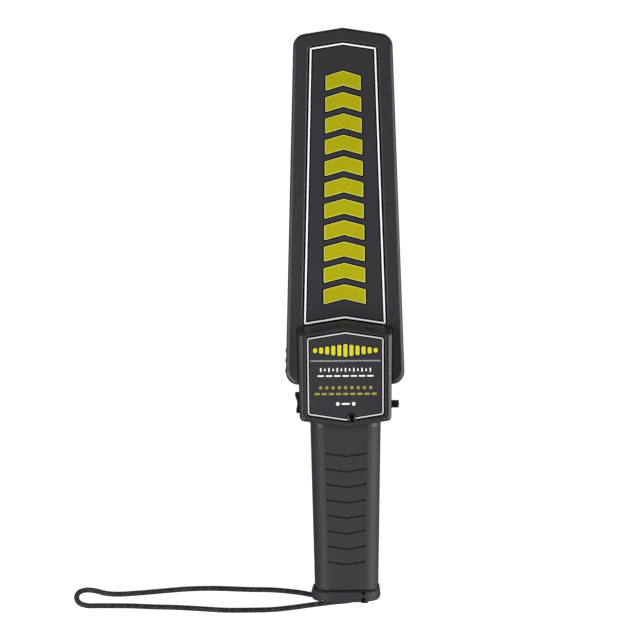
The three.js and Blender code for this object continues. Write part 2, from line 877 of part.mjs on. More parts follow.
function makeScrews() {
  const large = { radius: screwRadius, length: screwLength, headRadius: screwHeadRadius, headHeight: screwHeadHeight };
  const small = {
    radius: smallScrewRadius,
    length: smallScrewLength,
    headRadius: smallScrewHeadRadius,
    headHeight: smallScrewHeadHeight,
  };
  const short = { ...small, length: formerBase + formerThickness - wall };
  housingScrews.forEach(([x, distance], i) => screw(`housing_screw_${i + 1}`, x, distance, screwSeat, large, true));
  boardPosts.forEach(([x, distance], i) =>
    screw(`board_screw_${i + 1}`, x, distance, boardFace + seatGap, small, false),
  );
  formerPosts.forEach(([x, distance], i) =>
    screw(`former_screw_${i + 1}`, x, distance, formerBase + formerThickness + seatGap, short, false),
  );
  screw("cap_screw", capScrewAcross, capScrewAt, capScrewSeat, { ...small, length: capScrewLength }, true);
}

// The end cap's section, moved inwards by inset
function capSection(inset) {
  const corner = (x, z) => [x, z, capCornerRadius, cornerSteps];
  const half = capWidth / 2;
  return outline([corner(-half, 0), corner(half, 0), corner(half, capThickness), corner(-half, capThickness)], inset);
}
const capLayer = (distance, inset) => ({ at: distance, points: capSection(inset) });
const capStart = gripEnd + clearance;

// The cap's slab under the grip's end, with bevels round its two edges
function makeCapForm() {
  return sweepDown([
    capLayer(capStart, capShoulder),
    capLayer(capStart + capShoulder, 0),
    capLayer(capEnd - capBottomEdge, 0),
    capLayer(capEnd, capBottomEdge),
  ]);
}

// The door's outline, or with a gap the outline of the channel that it slides in
function doorSpace(gap, top) {
  const half = batteryWidth / 2 + doorMargin + gap;
  const low = doorBack - gap;
  const deep = capEnd - doorThickness - Math.min(gap, seatGap);
  const lipFace = capEnd - doorThickness / 2 - (gap > 0 ? 0 : clearance);
  const face = gap > 0 ? capEnd + overrun : capEnd;
  return join(
    block([batteryOffset - half, station(face), low], [batteryOffset + half, station(deep), top]),
    block(
      [batteryOffset - half - doorLip, station(lipFace), low],
      [batteryOffset + half + doorLip, station(deep), top],
    ),
  );
}

function makeEndCap() {
  const half = capWidth / 2;
  const slab = makeCapForm();
  const earStart = gripEnd - capEarHeight;
  const collar = sweepDown([
    capLayer(earStart, capEarRound),
    capLayer(earStart + capEarRound, 0),
    capLayer(capStart + capShoulder, 0),
  ]);
  const aroundGrip = sweepDown([gripLayer(earStart - overrun, -clearance), gripLayer(capStart, -clearance)]);
  const betweenEars = block(
    [-half * earShare, station(capStart + capShoulder), -overrun],
    [half * earShare, station(earStart - overrun), capThickness + overrun],
  );
  const ears = cut(collar, aroundGrip, betweenEars);
  const plug = sweepDown([gripLayer(plugStart, wall + clearance), gripLayer(capStart + capShoulder, wall + clearance)]);
  const bay = block(
    [batteryOffset - batteryWidth / 2 - trayGap, station(capEnd + overrun), batteryHeight - batteryThickness / 2 - trayGap],
    [batteryOffset + batteryWidth / 2 + trayGap, station(plugStart - overrun), batteryHeight + batteryThickness / 2 + trayGap],
  );
  const catchMiddle = (capStart + capEnd + catchGap) / 2;
  const catches = [-1, 1].map((side) => {
    const at = catchMiddle + (side * (catchSize + catchGap)) / 2;
    return block(
      [catchLeft, station(at + catchSize / 2), capThickness - catchDepth],
      [catchLeft + catchSize, station(at - catchSize / 2), capThickness + overrun],
    );
  });
  const lug = block([lugLeft, station(overallLength), lugLow], [lugLeft + lugLength, station(capEnd - overrun), lugHigh]);
  const pilot = post(capScrewAcross, station(capScrewAt), gripBack, capScrewTop + clearance, smallScrewRadius + seatGap, smallSides);
  const lugPart = cut(lug, doorSpace(clearance, capThickness + overrun));
  const body = join(cut(join(slab, ears, plug), bay, doorSpace(clearance, capThickness + overrun), pilot, ...catches), lugPart);
  add("end_cap", body, capPlastic);
}

function makeBatteryDoor() {
  const form = doorSpace(0, capThickness).intersect(makeCapForm());
  const ridges = [];
  for (let ridge = 0; ridge < doorRidges; ridge++) {
    const z = capThickness - capCornerRadius / 2 - ridge * doorRidgePitch;
    const half = batteryWidth / 2 - doorMargin;
    ridges.push(
      block(
        [batteryOffset - half / 2, station(capEnd + overrun), z - doorRidgeWidth / 2],
        [batteryOffset + half / 2, station(capEnd - doorRidgeDepth), z + doorRidgeWidth / 2],
      ),
    );
  }
  add("battery_door", cut(form, ...ridges), capPlastic);
}

// The battery's outline across the wand, moved outwards by gap
function batterySection(gap, radius) {
  const half = batteryWidth / 2 + gap;
  const tall = batteryThickness / 2 + gap;
  const corner = (x, z) => [batteryOffset + x * half, batteryHeight + z * tall, radius, capSteps];
  return outline([corner(-1, -1), corner(1, -1), corner(1, 1), corner(-1, 1)]);
}

function makeBattery() {
  const can = sweepDown([
    { at: batteryStart, points: batterySection(0, batteryRadius) },
    { at: batteryEnd, points: batterySection(0, batteryRadius) },
  ]);
  const stud = (side, radius) =>
    longRod(leadX(side), batteryHeight, batteryStart - studLength, batteryStart + seatGap, radius);
  add("battery", join(can, stud(-1, smallStudRadius), stud(1, largeStudRadius)), batteryWrap);
}

// The tray round the battery, open at the cap's end, with two holes for the leads
function makeBatteryTray() {
  const outer = sweepDown([
    { at: trayStart, points: batterySection(trayGap + trayWall, batteryRadius) },
    { at: trayEnd, points: batterySection(trayGap + trayWall, batteryRadius) },
  ]);
  const inner = sweepDown([
    { at: contactBack - seatGap, points: batterySection(trayGap, batteryRadius) },
    { at: trayEnd + overrun, points: batterySection(trayGap, batteryRadius) },
  ]);
  const holes = [-1, 1].map((side) =>
    longRod(leadX(side), batteryHeight, trayStart - overrun, contactBack + seatGap, leadRadius + clearance, smallSides),
  );
  add("battery_tray", cut(outer, inner, ...holes), blackPlastic);
}

function makeContacts() {
  const boardSection = batterySection(-seatGap, batteryRadius);
  const board = sweepDown([
    { at: contactBack, points: boardSection },
    { at: contactFace, points: boardSection },
  ]);
  add("contact_board", board, boardLaminate);
  const mates = [
    ["positive_contact", -1, smallStudRadius],
    ["negative_contact", 1, largeStudRadius],
  ];
  for (const [name, side, radius] of mates) {
    const x = leadX(side);
    const ring = longRod(x, batteryHeight, contactFace + seatGap, batteryStart - clearance, radius + clearance + contactWall);
    const socket = longRod(x, batteryHeight, contactFace + contactWall, batteryStart, radius + clearance);
    add(name, cut(ring, socket), brass);
  }
}

// The x of the battery stud on that side, and of its lead
const leadX = (side) => batteryOffset + (side * studSpacing) / 2;

// The coils' common shape, with the former's post places and heights
const coilHalf = (distance) => paddleHalf(distance) - coilMargin;
const coilEnd = boxStart - coilToBox;
const coilShape = shield({
  top: coilTop,
  bottom: coilEnd,
  topWidth: 2 * coilHalf(coilTop),
  bottomWidth: 2 * coilHalf(coilEnd),
  topRise: rise(2 * coilHalf(coilTop)),
  bottomRise: 0,
  topRadius: coilRadius,
  bottomRadius: coilRadius,
});

// A ring between two insets of the coils' shape
function coilRing(outerInset, innerInset, low, high) {
  return cut(plate(coilShape, outerInset, low, high), plate(coilShape, innerInset, low - overrun, high + overrun));
}

function makeCoils() {
  const floor = formerBase + formerThickness;
  const rimInset = coilWidth + clearance;
  const base = plate(coilShape, -formerFlange, formerBase, floor);
  const rim = coilRing(rimInset, rimInset + formerThickness, floor - seatGap, floor + formerHeight);
  const innerInset = rimInset + formerThickness + innerCoilGap;
  const innerRim = coilRing(innerInset + coilWidth + clearance, innerInset + coilWidth + clearance + formerThickness, floor - seatGap, floor + formerHeight);
  const holes = formerPosts.map(([x, distance]) =>
    post(x, station(distance), formerBase - overrun, floor + overrun, smallScrewRadius + clearance, smallSides),
  );
  add("coil_former", cut(join(base, rim, innerRim), ...holes), palePlastic);
  const low = floor + seatGap;
  add("transmit_coil", coilRing(0, coilWidth, low, low + coilHeight), copperWire);
  add("receive_coil", coilRing(innerInset, innerInset + coilWidth, low, low + coilHeight), copperWire);
}

function makeBoard() {
  const half = boardWidth / 2;
  const body = block([-half, station(boardBottom), boardHeight], [half, station(boardTop), boardFace]);
  const tab = block(
    [-boardTabWidth / 2, station(boardBottom + boardTabLength), boardHeight],
    [boardTabWidth / 2, station(boardBottom - overrun), boardFace],
  );
  const holes = boardPosts.map(([x, distance]) =>
    post(x, station(distance), boardHeight - overrun, boardFace + overrun, smallScrewRadius + clearance, smallSides),
  );
  add("main_board", cut(join(body, tab), ...holes), boardLaminate);
}

// A block on the board, by the middle of its foot
function boardBlock(x, distance, width, length, height) {
  return block(
    [x - width / 2, station(distance + length / 2), boardFace + seatGap],
    [x + width / 2, station(distance - length / 2), boardFace + seatGap + height],
  );
}

function makeBoardParts() {
  const middle = (boardTop + boardBottom) / 2;
  add("control_chip", boardBlock(0, middle, chipWidth, chipLength, chipHeight), chipEpoxy);
  for (const side of [-1, 1]) {
    const x = capacitorAcross;
    const y = station(middle + (side * capacitorPitch) / 2);
    const low = boardFace + seatGap;
    const name = side < 0 ? "filter_capacitor_1" : "filter_capacitor_2";
    add(name, post(x, y, low, low + capacitorHeight, capacitorRadius), chipEpoxy);
  }
  const transistor = boardBlock(-capacitorAcross, middle, transistorSize, transistorSize, transistorSize);
  add("output_transistor", transistor, chipEpoxy);
  add("coil_header", boardBlock(0, coilHeaderAt, coilHeaderWidth, headerSize, headerHeight), palePlastic);
  add("power_header", boardBlock(powerHeaderX, powerHeaderAt, powerHeaderWidth, headerSize, headerHeight), palePlastic);
}

// The sensitivity trimmer hangs under the board, and its slot faces a hole in the wand's back
function makeTrimmer() {
  const top = boardHeight - seatGap;
  const low = top - trimmerHeight;
  const half = trimmerSize / 2;
  const y = station(trimmerAt);
  const body = block([trimmerX - half, y - half, low], [trimmerX + half, y + half, top]);
  const well = post(trimmerX, y, low - overrun, low + trimmerHeight / 2, trimmerRotorRadius + clearance);
  add("trimmer_body", cut(body, well), blackPlastic);
  const rotorTop = low + trimmerHeight / 2 - seatGap;
  const rotorLow = low - trimmerRotorHeight;
  const slot = block(
    [trimmerX - trimmerRotorRadius, y - trimmerSlotWidth / 2, rotorLow - overrun],
    [trimmerX + trimmerRotorRadius, y + trimmerSlotWidth / 2, rotorLow + trimmerSlotWidth],
  );
  add("trimmer_rotor", cut(post(trimmerX, y, rotorLow, rotorTop, trimmerRotorRadius), slot), brass);
}

// The power rocker's side view, its crests proud of the wall, and the switch behind it
function makeRocker() {
  const pivotX = rockerWall + rockerPivotDepth;
  const half = rockerLength / 2;
  const backX = pivotX + rockerRoot;
  const profile = new THREE.Shape(
    [
      [backX, half * rockerFootShare],
      [pivotX - rockerPivotDepth, half],
      [rockerWall - rockerTopCrest * rockerShoulderShare, half],
      [rockerWall - rockerTopCrest, half * rockerCrestShare],
      [rockerWall - rockerDip, 0],
      [rockerWall - rockerLowCrest, -half * rockerCrestShare],
      [rockerWall - rockerLowCrest * rockerShoulderShare, -half],
      [pivotX - rockerPivotDepth, -half],
      [backX, -half * rockerFootShare],
    ].map(([x, up]) => new THREE.Vector2(x, station(rockerAt) + up)),
  );
  const geometry = new THREE.ExtrudeGeometry(profile, { depth: rockerWidth, bevelEnabled: false });
  add("power_rocker", solid(geometry.translate(0, 0, controlHeight - rockerWidth / 2)), blackPlastic);
  const low = boardFace + seatGap;
  const high = 2 * controlHeight - low;
  const left = rockerWall + wall + switchGap;
  const bodyHalf = half + switchMargin;
  const body = block([left, station(rockerAt) - bodyHalf, low], [left + switchDepth, station(rockerAt) + bodyHalf, high]);
  const well = block(
    [left - overrun, station(rockerAt) - half - 2 * clearance, controlHeight - rockerWidth / 2 - clearance],
    [backX + rockerSwing, station(rockerAt) + half + 2 * clearance, controlHeight + rockerWidth / 2 + clearance],
  );
  add("switch_body", cut(body, well), blackPlastic);
}

// The fluted button's section, swept across the wand
function makeButton() {
  const y = station(buttonAt);
  const rim = [];
  for (let ridge = 0; ridge < 2 * buttonRidges; ridge++) {
    const angle = (Math.PI * ridge) / buttonRidges;
    const radius = ridge % 2 ? buttonRadius - buttonRidgeDepth : buttonRadius;
    rim.push([angle, radius]);
  }
  const ring = (inset) =>
    rim.map(([angle, radius]) => new THREE.Vector2(Math.cos(angle), Math.sin(angle)).multiplyScalar(radius - inset));
  const tip = buttonWall + buttonReach;
  const foot = tip - buttonHeadLength;
  const head = loft(
    [
      { at: foot, points: ring(0) },
      { at: tip - 2 * buttonRidgeDepth, points: ring(0) },
      { at: tip, points: ring(2 * buttonRidgeDepth) },
    ],
    (p, at) => new THREE.Vector3(at, y + p.x, controlHeight + p.y),
  );
  const stem = crossRod(y, controlHeight, foot - stemLength, foot + seatGap, stemRadius, smallSides);
  add("sensitivity_button", join(head, stem), blackPlastic);
  const face = foot - buttonTravel - clearance;
  const half = buttonBodyWidth / 2;
  const body = block(
    [face - buttonBodyLength, y - half, boardFace + seatGap],
    [face, y + half, controlHeight + half],
  );
  const bore = crossRod(y, controlHeight, foot - stemLength - buttonTravel - clearance, face + overrun, stemRadius + clearance, smallSides);
  add("button_body", cut(body, bore), blackPlastic);
}

function makeIndicator() {
  const y = station(lensAt);
  const inside = boxHeight - frontWall;
  const profile = [
    [0, inside],
    [lensRadius, inside],
    [lensRadius, boxHeight],
    [lensRadius * lensShoulderShare, boxHeight + lensProud * lensShoulderShare],
    [0, boxHeight + lensProud],
  ].map(([radius, z]) => new THREE.Vector2(radius, z));
  const lens = new THREE.LatheGeometry(profile, roundSides).rotateX(Math.PI / 2).translate(lensAcross, y, 0);
  add("indicator_lens", solid(lens), lensPlastic);
  const top = inside - seatGap;
  const bulb = post(lensAcross, y, top - ledLength, top, ledRadius);
  const legs = [-1, 1].map((side) =>
    post(lensAcross + (side * ledLegSpacing) / 2, y, boardFace + seatGap, top - ledLength / 2, ledLegRadius, leadSides),
  );
  add("status_led", join(bulb, ...legs), palePlastic);
}

function makeSounder() {
  const y = station(sounderAt);
  const body = crossRod(y, sounderHeight, sounderFace + sounderNozzle, sounderFace + sounderNozzle + sounderThickness, sounderRadius);
  const nozzle = crossRod(y, sounderHeight, sounderFace, sounderFace + sounderNozzle + seatGap, sounderRadius * nozzleShare);
  add("sounder", join(body, nozzle), blackPlastic);
}

function makeMotor() {
  const from = motorAt - motorLength / 2;
  const to = motorAt + motorLength / 2;
  const can = longRod(0, batteryHeight, from, to, motorRadius);
  const bore = longRod(0, batteryHeight, to - motorShaftGrip, to + overrun, motorShaftRadius + clearance, smallSides);
  add("vibration_motor", cut(can, bore), steel);
  const shaftEnd = to + weightGap + weightLength;
  const shaft = longRod(0, batteryHeight, to - motorShaftGrip + clearance, shaftEnd, motorShaftRadius, smallSides);
  add("motor_shaft", shaft, steel);
  const weight = longRod(0, batteryHeight, to + weightGap, shaftEnd, weightRadius);
  const half = block(
    [-weightRadius - overrun, station(shaftEnd + overrun), batteryHeight + motorShaftRadius + weightWeb],
    [weightRadius + overrun, station(to), batteryHeight + weightRadius + overrun],
  );
  const hole = longRod(0, batteryHeight, to, shaftEnd + overrun, motorShaftRadius + seatGap, smallSides);
  add("motor_weight", cut(weight, half, hole), brass);
}

// The leads' routes between their two ends. Each row is a point as the shares of the way from one
// end to the other, across the wand, along it and up.
const transmitRouteShares = [
  [0, 0.1, 0.11],
  [0, 0.29, 0.22],
  [0, 0.49, 0.49],
  [0, 0.64, 0.93],
  [0, 0.8, 1.22],
  [0, 0.95, 1.24],
];
const receiveRouteShares = [
  [0, 0.1, 0.13],
  [0, 0.25, 0.18],
  [0, 0.46, 0.24],
  [0, 0.65, 0.49],
  [0, 0.75, 0.93],
  [0, 0.86, 1.22],
  [0, 0.97, 1.24],
];
const redRouteShares = [
  [-0.08, 0.04, 0.06],
  [-0.36, 0.1, 0.23],
  [-0.56, 0.17, 0.33],
  [-0.71, 0.34, 0.4],
  [-0.71, 0.59, 0.48],
  [-0.56, 0.735, 0.92],
  [0.15, 0.815, 1.47],
  [0.8, 0.882, 1.47],
  [1, 0.948, 1.11],
];
const blackRouteShares = [
  [0.33, 0.06, 0.1],
  [1, 0.17, 0.33],
  [1, 0.39, 0.4],
  [1, 0.61, 0.49],
  [1, 0.784, 0.75],
  [1, 0.882, 0.97],
  [1, 0.956, 1],
];
const motorRouteShares = [
  [0.24, 0.12, 0.07],
  [1, 0.36, 0.56],
  [1, 0.63, 1.02],
  [1, 0.82, 1],
];
const sounderRouteShares = [
  [0.12, 0.02, 0.02],
  [0.25, 0.25, 0.5],
  [0.36, 0.5, 1.03],
  [0.6, 0.75, 1.2],
  [0.95, 0.98, 1.35],
];

// A lead between two ends, each as [x, distance from the tip, z], by the shares in between
function lead(name, from, to, shares, material) {
  const between = shares.map((row) => row.map((share, axis) => THREE.MathUtils.lerp(from[axis], to[axis], share)));
  const route = [from, ...between, to];
  add(name, tube(route, leadRadius, leadSides, leadStepShare * route.length), material);
}

// The strap's route, each point as [x, distance from the tip, z]
const strapRoute = [
  [12, 412.4, 10.6],
  [7, 412.4, 10.6],
  [1, 412.4, 9.8],
  [-7, 412.3, 7.6],
  [-14, 411.9, 4.8],
  [-20, 411.1, 2.6],
  [-26.3, 409.7, 1.8],
  [-35.1, 408.1, 1.75],
  [-52.6, 406.3, 1.75],
  [-70.1, 405.8, 1.75],
  [-96, 404.8, 1.75],
  [-113.5, 405, 1.75],
  [-131, 406.2, 1.75],
  [-148.4, 407.6, 1.75],
  [-167.3, 408.5, 1.75],
  [-176.1, 407.2, 1.75],
  [-182, 405.2, 1.75],
  [-189.2, 404.1, 1.75],
  [-194.6, 406.3, 1.75],
  [-196.8, 411, 1.75],
  [-194.6, 415.7, 1.75],
  [-189.2, 417.9, 1.75],
  [-180, 417.5, 1.75],
  [-170.3, 416.9, 1.75],
  [-157.3, 417.1, 1.75],
  [-139.8, 417.9, 1.75],
  [-122.4, 418.5, 1.75],
  [-104.9, 419.6, 1.75],
  [-87.6, 420.7, 1.75],
  [-70, 420.8, 1.75],
  [-52.6, 420.4, 1.75],
  [-35.1, 418.6, 1.75],
  [-26.4, 417.6, 1.75],
  [-18, 416.4, 1.8],
  [-9, 414.9, 2.4],
  [0, 413.2, 3.6],
  [7, 412.4, 4.4],
  [12, 412.4, 4.4],
];

function makeLeads() {
  const coilLead = coilHeaderWidth / 2 - coilLeadInset;
  const coilFace = formerBase + formerThickness + seatGap + coilHeight + leadStandoff;
  const innerInset = coilWidth + clearance + formerThickness + innerCoilGap;
  const headerFace = boardFace + seatGap + headerHeight + leadEndGap;
  const entry = powerHeaderAt + headerSize / 2 + leadEndGap;
  const entryHeight = boardFace + headerHeight / 2;
  const fromTransmit = [-coilLead, coilEnd - coilWidth / 2, coilFace];
  const fromReceive = [coilLead, coilEnd - innerInset - coilWidth / 2, coilFace];
  lead("transmit_coil_lead", fromTransmit, [-coilLead, coilHeaderAt, headerFace], transmitRouteShares, redLead);
  lead("receive_coil_lead", fromReceive, [coilLead, coilHeaderAt, headerFace], receiveRouteShares, blackLead);
  const fromBattery = (side) => [leadX(side), contactBack - leadEndGap, batteryHeight];
  const toRed = [powerHeaderX, entry, entryHeight];
  const toBlack = [powerHeaderX - headerPitch, entry, entryHeight];
  const toMotor = [powerHeaderX + headerPitch, entry, entryHeight];
  lead("battery_lead_red", fromBattery(1), toRed, redRouteShares, redLead);
  lead("battery_lead_black", fromBattery(-1), toBlack, blackRouteShares, blackLead);
  const fromMotor = [0, motorAt - motorLength / 2 - leadEndGap, batteryHeight];
  lead("motor_lead", fromMotor, toMotor, motorRouteShares, redLead);
  const sounderBack = sounderFace + sounderNozzle + sounderThickness;
  const fromSounder = [sounderBack + leadEndGap, sounderAt, sounderHeight];
  const pad = [sounderPadInset - boardWidth / 2, sounderAt + sounderPadOffset, boardFace + leadEndGap];
  lead("sounder_lead", fromSounder, pad, sounderRouteShares, blackLead);
}

function makeStrap() {
  add("strap_cord", tube(strapRoute, strapDiameter / 2, strapSides, strapSteps), strapCord);
}

makeFrontHousing();
makeRearHousing();
makeLabels();
makeScrews();
makeEndCap();
makeBatteryDoor();
makeBattery();
makeBatteryTray();
makeContacts();
makeCoils();
makeBoard();
makeBoardParts();
makeTrimmer();
makeRocker();
makeButton();
makeIndicator();
makeSounder();
makeMotor();
makeLeads();
makeStrap();

export default wand;
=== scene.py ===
"""A hand-held security metal detector wand, dressed for its portrait.

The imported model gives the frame, in metres and +Z up. The wand lies on its back: +Y runs along it to
the paddle's tip, +X is to its right, and its printed front faces +Z. Sizes in this file are in
millimetres, and a place along the wand is its distance from the paddle's tip.
"""

import logging
import math
from contextlib import contextmanager
from dataclasses import dataclass, replace
from enum import Enum
from typing import Callable, Iterator, Sequence

import bmesh
import bpy
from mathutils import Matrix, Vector

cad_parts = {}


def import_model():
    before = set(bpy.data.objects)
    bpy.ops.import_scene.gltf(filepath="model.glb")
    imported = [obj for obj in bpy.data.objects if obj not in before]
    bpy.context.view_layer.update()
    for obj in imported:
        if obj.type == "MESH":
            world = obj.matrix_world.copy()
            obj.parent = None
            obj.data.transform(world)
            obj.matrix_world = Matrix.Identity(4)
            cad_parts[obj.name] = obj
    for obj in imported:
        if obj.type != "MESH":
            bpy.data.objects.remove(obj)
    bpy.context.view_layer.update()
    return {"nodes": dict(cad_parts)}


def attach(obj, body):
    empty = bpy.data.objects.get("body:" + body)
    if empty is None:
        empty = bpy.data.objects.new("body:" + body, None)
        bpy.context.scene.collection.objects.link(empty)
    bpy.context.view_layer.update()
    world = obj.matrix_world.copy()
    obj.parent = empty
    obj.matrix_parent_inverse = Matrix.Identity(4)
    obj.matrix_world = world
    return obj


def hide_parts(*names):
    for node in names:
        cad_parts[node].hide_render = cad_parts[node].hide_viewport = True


MM = 0.001
HALF_LENGTH = 207.4
ROOT = "root"
PARTING = 14.0
CHEVRON_SLOPE = 0.155
PEAK_RADIUS = 4.0
CLEARANCE = 0.3
OVERRUN = 2.0
SMOOTH_ANGLE = math.radians(32)
FLAT_ANGLE = math.radians(0.01)
DOUBLED = 0.001

Corner = tuple[float, float]
Point = tuple[float, float, float]
Test = Callable[[Vector, Vector], bool]
Tree = bpy.types.NodeTree
Node = bpy.types.Node
Socket = bpy.types.NodeSocket

UP: Point = (0, 0, 1)
ACROSS: Point = (1, 0, 0)

log = logging.getLogger("wand")


def station(distance: float) -> float:
    """The Y of a place that lies that far from the paddle's tip, in mm."""
    return HALF_LENGTH - distance


def metres(point: Sequence[float]) -> Vector:
    """A point or a move in mm as the frame's own metres."""
    return Vector(point) * MM


def between(start: float, end: float, share: float) -> float:
    """The value that lies that share of the way from start to end."""
    return start + (end - start) * share


def only(*objects: bpy.types.Object) -> None:
    """Selects these objects alone, the first as the active one."""
    if bpy.context.mode != "OBJECT":
        bpy.ops.object.mode_set(mode="OBJECT")
    bpy.ops.object.select_all(action="DESELECT")
    for obj in objects:
        obj.select_set(True)
    bpy.context.view_layer.objects.active = objects[0]


class Element(Enum):
    """What edit mode picks."""

    CORNERS = "VERT"
    EDGES = "EDGE"
    FACES = "FACE"


class Operation(Enum):
    """What a boolean does with its tool."""

    CUT = "DIFFERENCE"
    JOIN = "UNION"
    KEEP = "INTERSECT"


class Solver(Enum):
    """How a boolean is worked out."""

    CLOSED_BODIES = "MANIFOLD"
    THIN_PRINT = "EXACT"


class Workpiece:
    """One mesh in the making, shaped as by hand, with every size and place in mm."""

    solver = Solver.CLOSED_BODIES

    def __init__(self, name: str) -> None:
        """Takes the object that was just added as a piece, with its place put in its mesh."""
        self.object = bpy.context.view_layer.objects.active
        self.object.name = name
        self.object.data.name = name
        only(self.object)
        bpy.ops.object.transform_apply(location=True, rotation=True, scale=True)

    @classmethod
    def block(cls, name: str, low: Point, high: Point) -> "Workpiece":
        """A block between two corners."""
        start, end = metres(low), metres(high)
        bpy.ops.mesh.primitive_cube_add(size=1, location=(start + end) / 2, scale=end - start)
        return cls(name)

    @classmethod
    def loft(cls, name: str, rings: Sequence[Sequence[Point]]) -> "Workpiece":
        """A closed body through rings of equally many points.

        Args:
            name: what the piece is called.
            rings: the points of each ring, in the same order in each.

        Returns:
            The body, whose faces point outwards.
        """
        bpy.ops.mesh.primitive_circle_add(vertices=len(rings[0]), radius=MM, fill_type="NGON")
        piece = cls(name)
        with piece.editing():
            before: Sequence[Point] = ()
            for ring in rings:
                if before:
                    bpy.ops.mesh.extrude_region_move(TRANSFORM_OT_translate={"value": (0, 0, 0)})
                piece.lay_ring(ring, before)
                before = ring
            piece.face_outwards()
        return piece

    @classmethod
    def turned(
        cls, name: str, foot: Point, axis: Point, profile: Sequence[Corner], sides: int = 32
    ) -> "Workpiece":
        """A turned body, as on a lathe.

        Args:
            name: what the piece is called.
            foot: the point of its axis that heights are counted from.
            axis: the direction of its axis.
            profile: the height and radius of each ring, from its foot up.
            sides: how many faces go round it.

        Returns:
            The body, whose faces point outwards.
        """
        way = Vector(axis).normalized()
        height, radius = profile[0]
        bpy.ops.mesh.primitive_circle_add(
            vertices=sides,
            radius=radius * MM,
            fill_type="NGON",
            location=metres(foot) + way * height * MM,
            rotation=way.to_track_quat("Z", "Y").to_euler(),
        )
        piece = cls(name)
        with piece.editing():
            for next_height, next_radius in profile[1:]:
                move = way * (next_height - height) * MM
                bpy.ops.mesh.extrude_region_move(TRANSFORM_OT_translate={"value": move})
                scale = next_radius / radius
                centre = metres(foot) + way * next_height * MM
                bpy.ops.transform.resize(value=(scale, scale, scale), center_override=centre)
                height, radius = next_height, next_radius
            piece.face_outwards()
        return piece

    @classmethod
    def upright(cls, name: str, place: Corner, profile: Sequence[Corner], sides: int = 32) -> "Workpiece":
        """A turned body that stands at a place, given as its X and its distance from the tip."""
        return cls.turned(name, (place[0], station(place[1]), 0), UP, profile, sides)

    @classmethod
    def gathered(cls, name: str, pieces: Sequence["Workpiece"]) -> "Workpiece":
        """Puts the meshes of several pieces in the first one's, uncut, and names it."""
        first = pieces[0]
        if len(pieces) > 1:
            only(*(piece.object for piece in pieces))
            bpy.ops.object.join()
        first.object.name = name
        return first

    @contextmanager
    def editing(self) -> Iterator[None]:
        """Edit mode on this piece with all of it selected, and object mode again afterwards."""
        only(self.object)
        bpy.ops.object.mode_set(mode="EDIT")
        bpy.ops.mesh.select_all(action="SELECT")
        yield
        bpy.ops.object.mode_set(mode="OBJECT")

    def face_outwards(self) -> None:
        """In edit mode, selects all faces and turns them outwards."""
        bpy.ops.mesh.select_all(action="SELECT")
        bpy.ops.mesh.normals_make_consistent(inside=False)

    def lay_ring(self, ring: Sequence[Point], before: Sequence[Point]) -> None:
        """In edit mode, moves the selected corners one by one to a ring's points.

        Args:
            ring: where the corners go.
            before: where they are now, or nothing for a new circle's own order.
        """
        mesh = bmesh.from_edit_mesh(self.object.data)
        mesh.verts.index_update()
        chosen = [v for v in mesh.verts if v.select]
        if before:
            chosen = [min(chosen, key=lambda v, b=b: (v.co - metres(b)).length) for b in before]
        numbers = [v.index for v in chosen]
        for number, target in zip(numbers, ring, strict=True):
            bpy.ops.mesh.select_all(action="DESELECT")
            mesh = bmesh.from_edit_mesh(self.object.data)
            mesh.verts.ensure_lookup_table()
            mesh.verts[number].select_set(True)
            bpy.ops.transform.translate(value=metres(target) - mesh.verts[number].co)
        mesh = bmesh.from_edit_mesh(self.object.data)
        mesh.verts.ensure_lookup_table()
        for number in numbers:
            mesh.verts[number].select_set(True)
        mesh.select_flush(True)

    def pick(self, kind: Element, test: Test) -> int:
        """In edit mode, selects what a test says yes to.

        Args:
            kind: whether corners, edges or faces are picked.
            test: gets the middle in mm, and an edge's direction or else the normal.

        Returns:
            How many were picked.
        """
        bpy.ops.mesh.select_mode(type=kind.value)
        bpy.ops.mesh.select_all(action="DESELECT")
        mesh = bmesh.from_edit_mesh(self.object.data)
        if kind is Element.CORNERS:
            found = [v for v in mesh.verts if test(v.co / MM, v.normal)]
        elif kind is Element.FACES:
            found = [f for f in mesh.faces if test(f.calc_center_median() / MM, f.normal)]
        else:
            ends = [(e, e.verts[0].co / MM, e.verts[1].co / MM) for e in mesh.edges]
            found = [e for e, a, b in ends if test((a + b) / 2, (b - a).normalized())]
        for item in found:
            item.select_set(True)
        bmesh.update_edit_mesh(self.object.data)
        return len(found)

    def bevel(self, test: Test, width: float, steps: int = 3, profile: float = 0.5) -> "Workpiece":
        """Rounds the edges that a test picks."""
        with self.editing():
            if self.pick(Element.EDGES, test):
                bpy.ops.mesh.bevel(
                    offset=width * MM, segments=steps, profile=profile, affect="EDGES", clamp_overlap=False
                )
            else:
                log.warning("%s has no such edges to round", self.object.name)
        return self

    def simplify(self) -> "Workpiece":
        """Splits every face that bends inwards into faces that don't."""
        with self.editing():
            bpy.ops.mesh.vert_connect_concave()
        return self

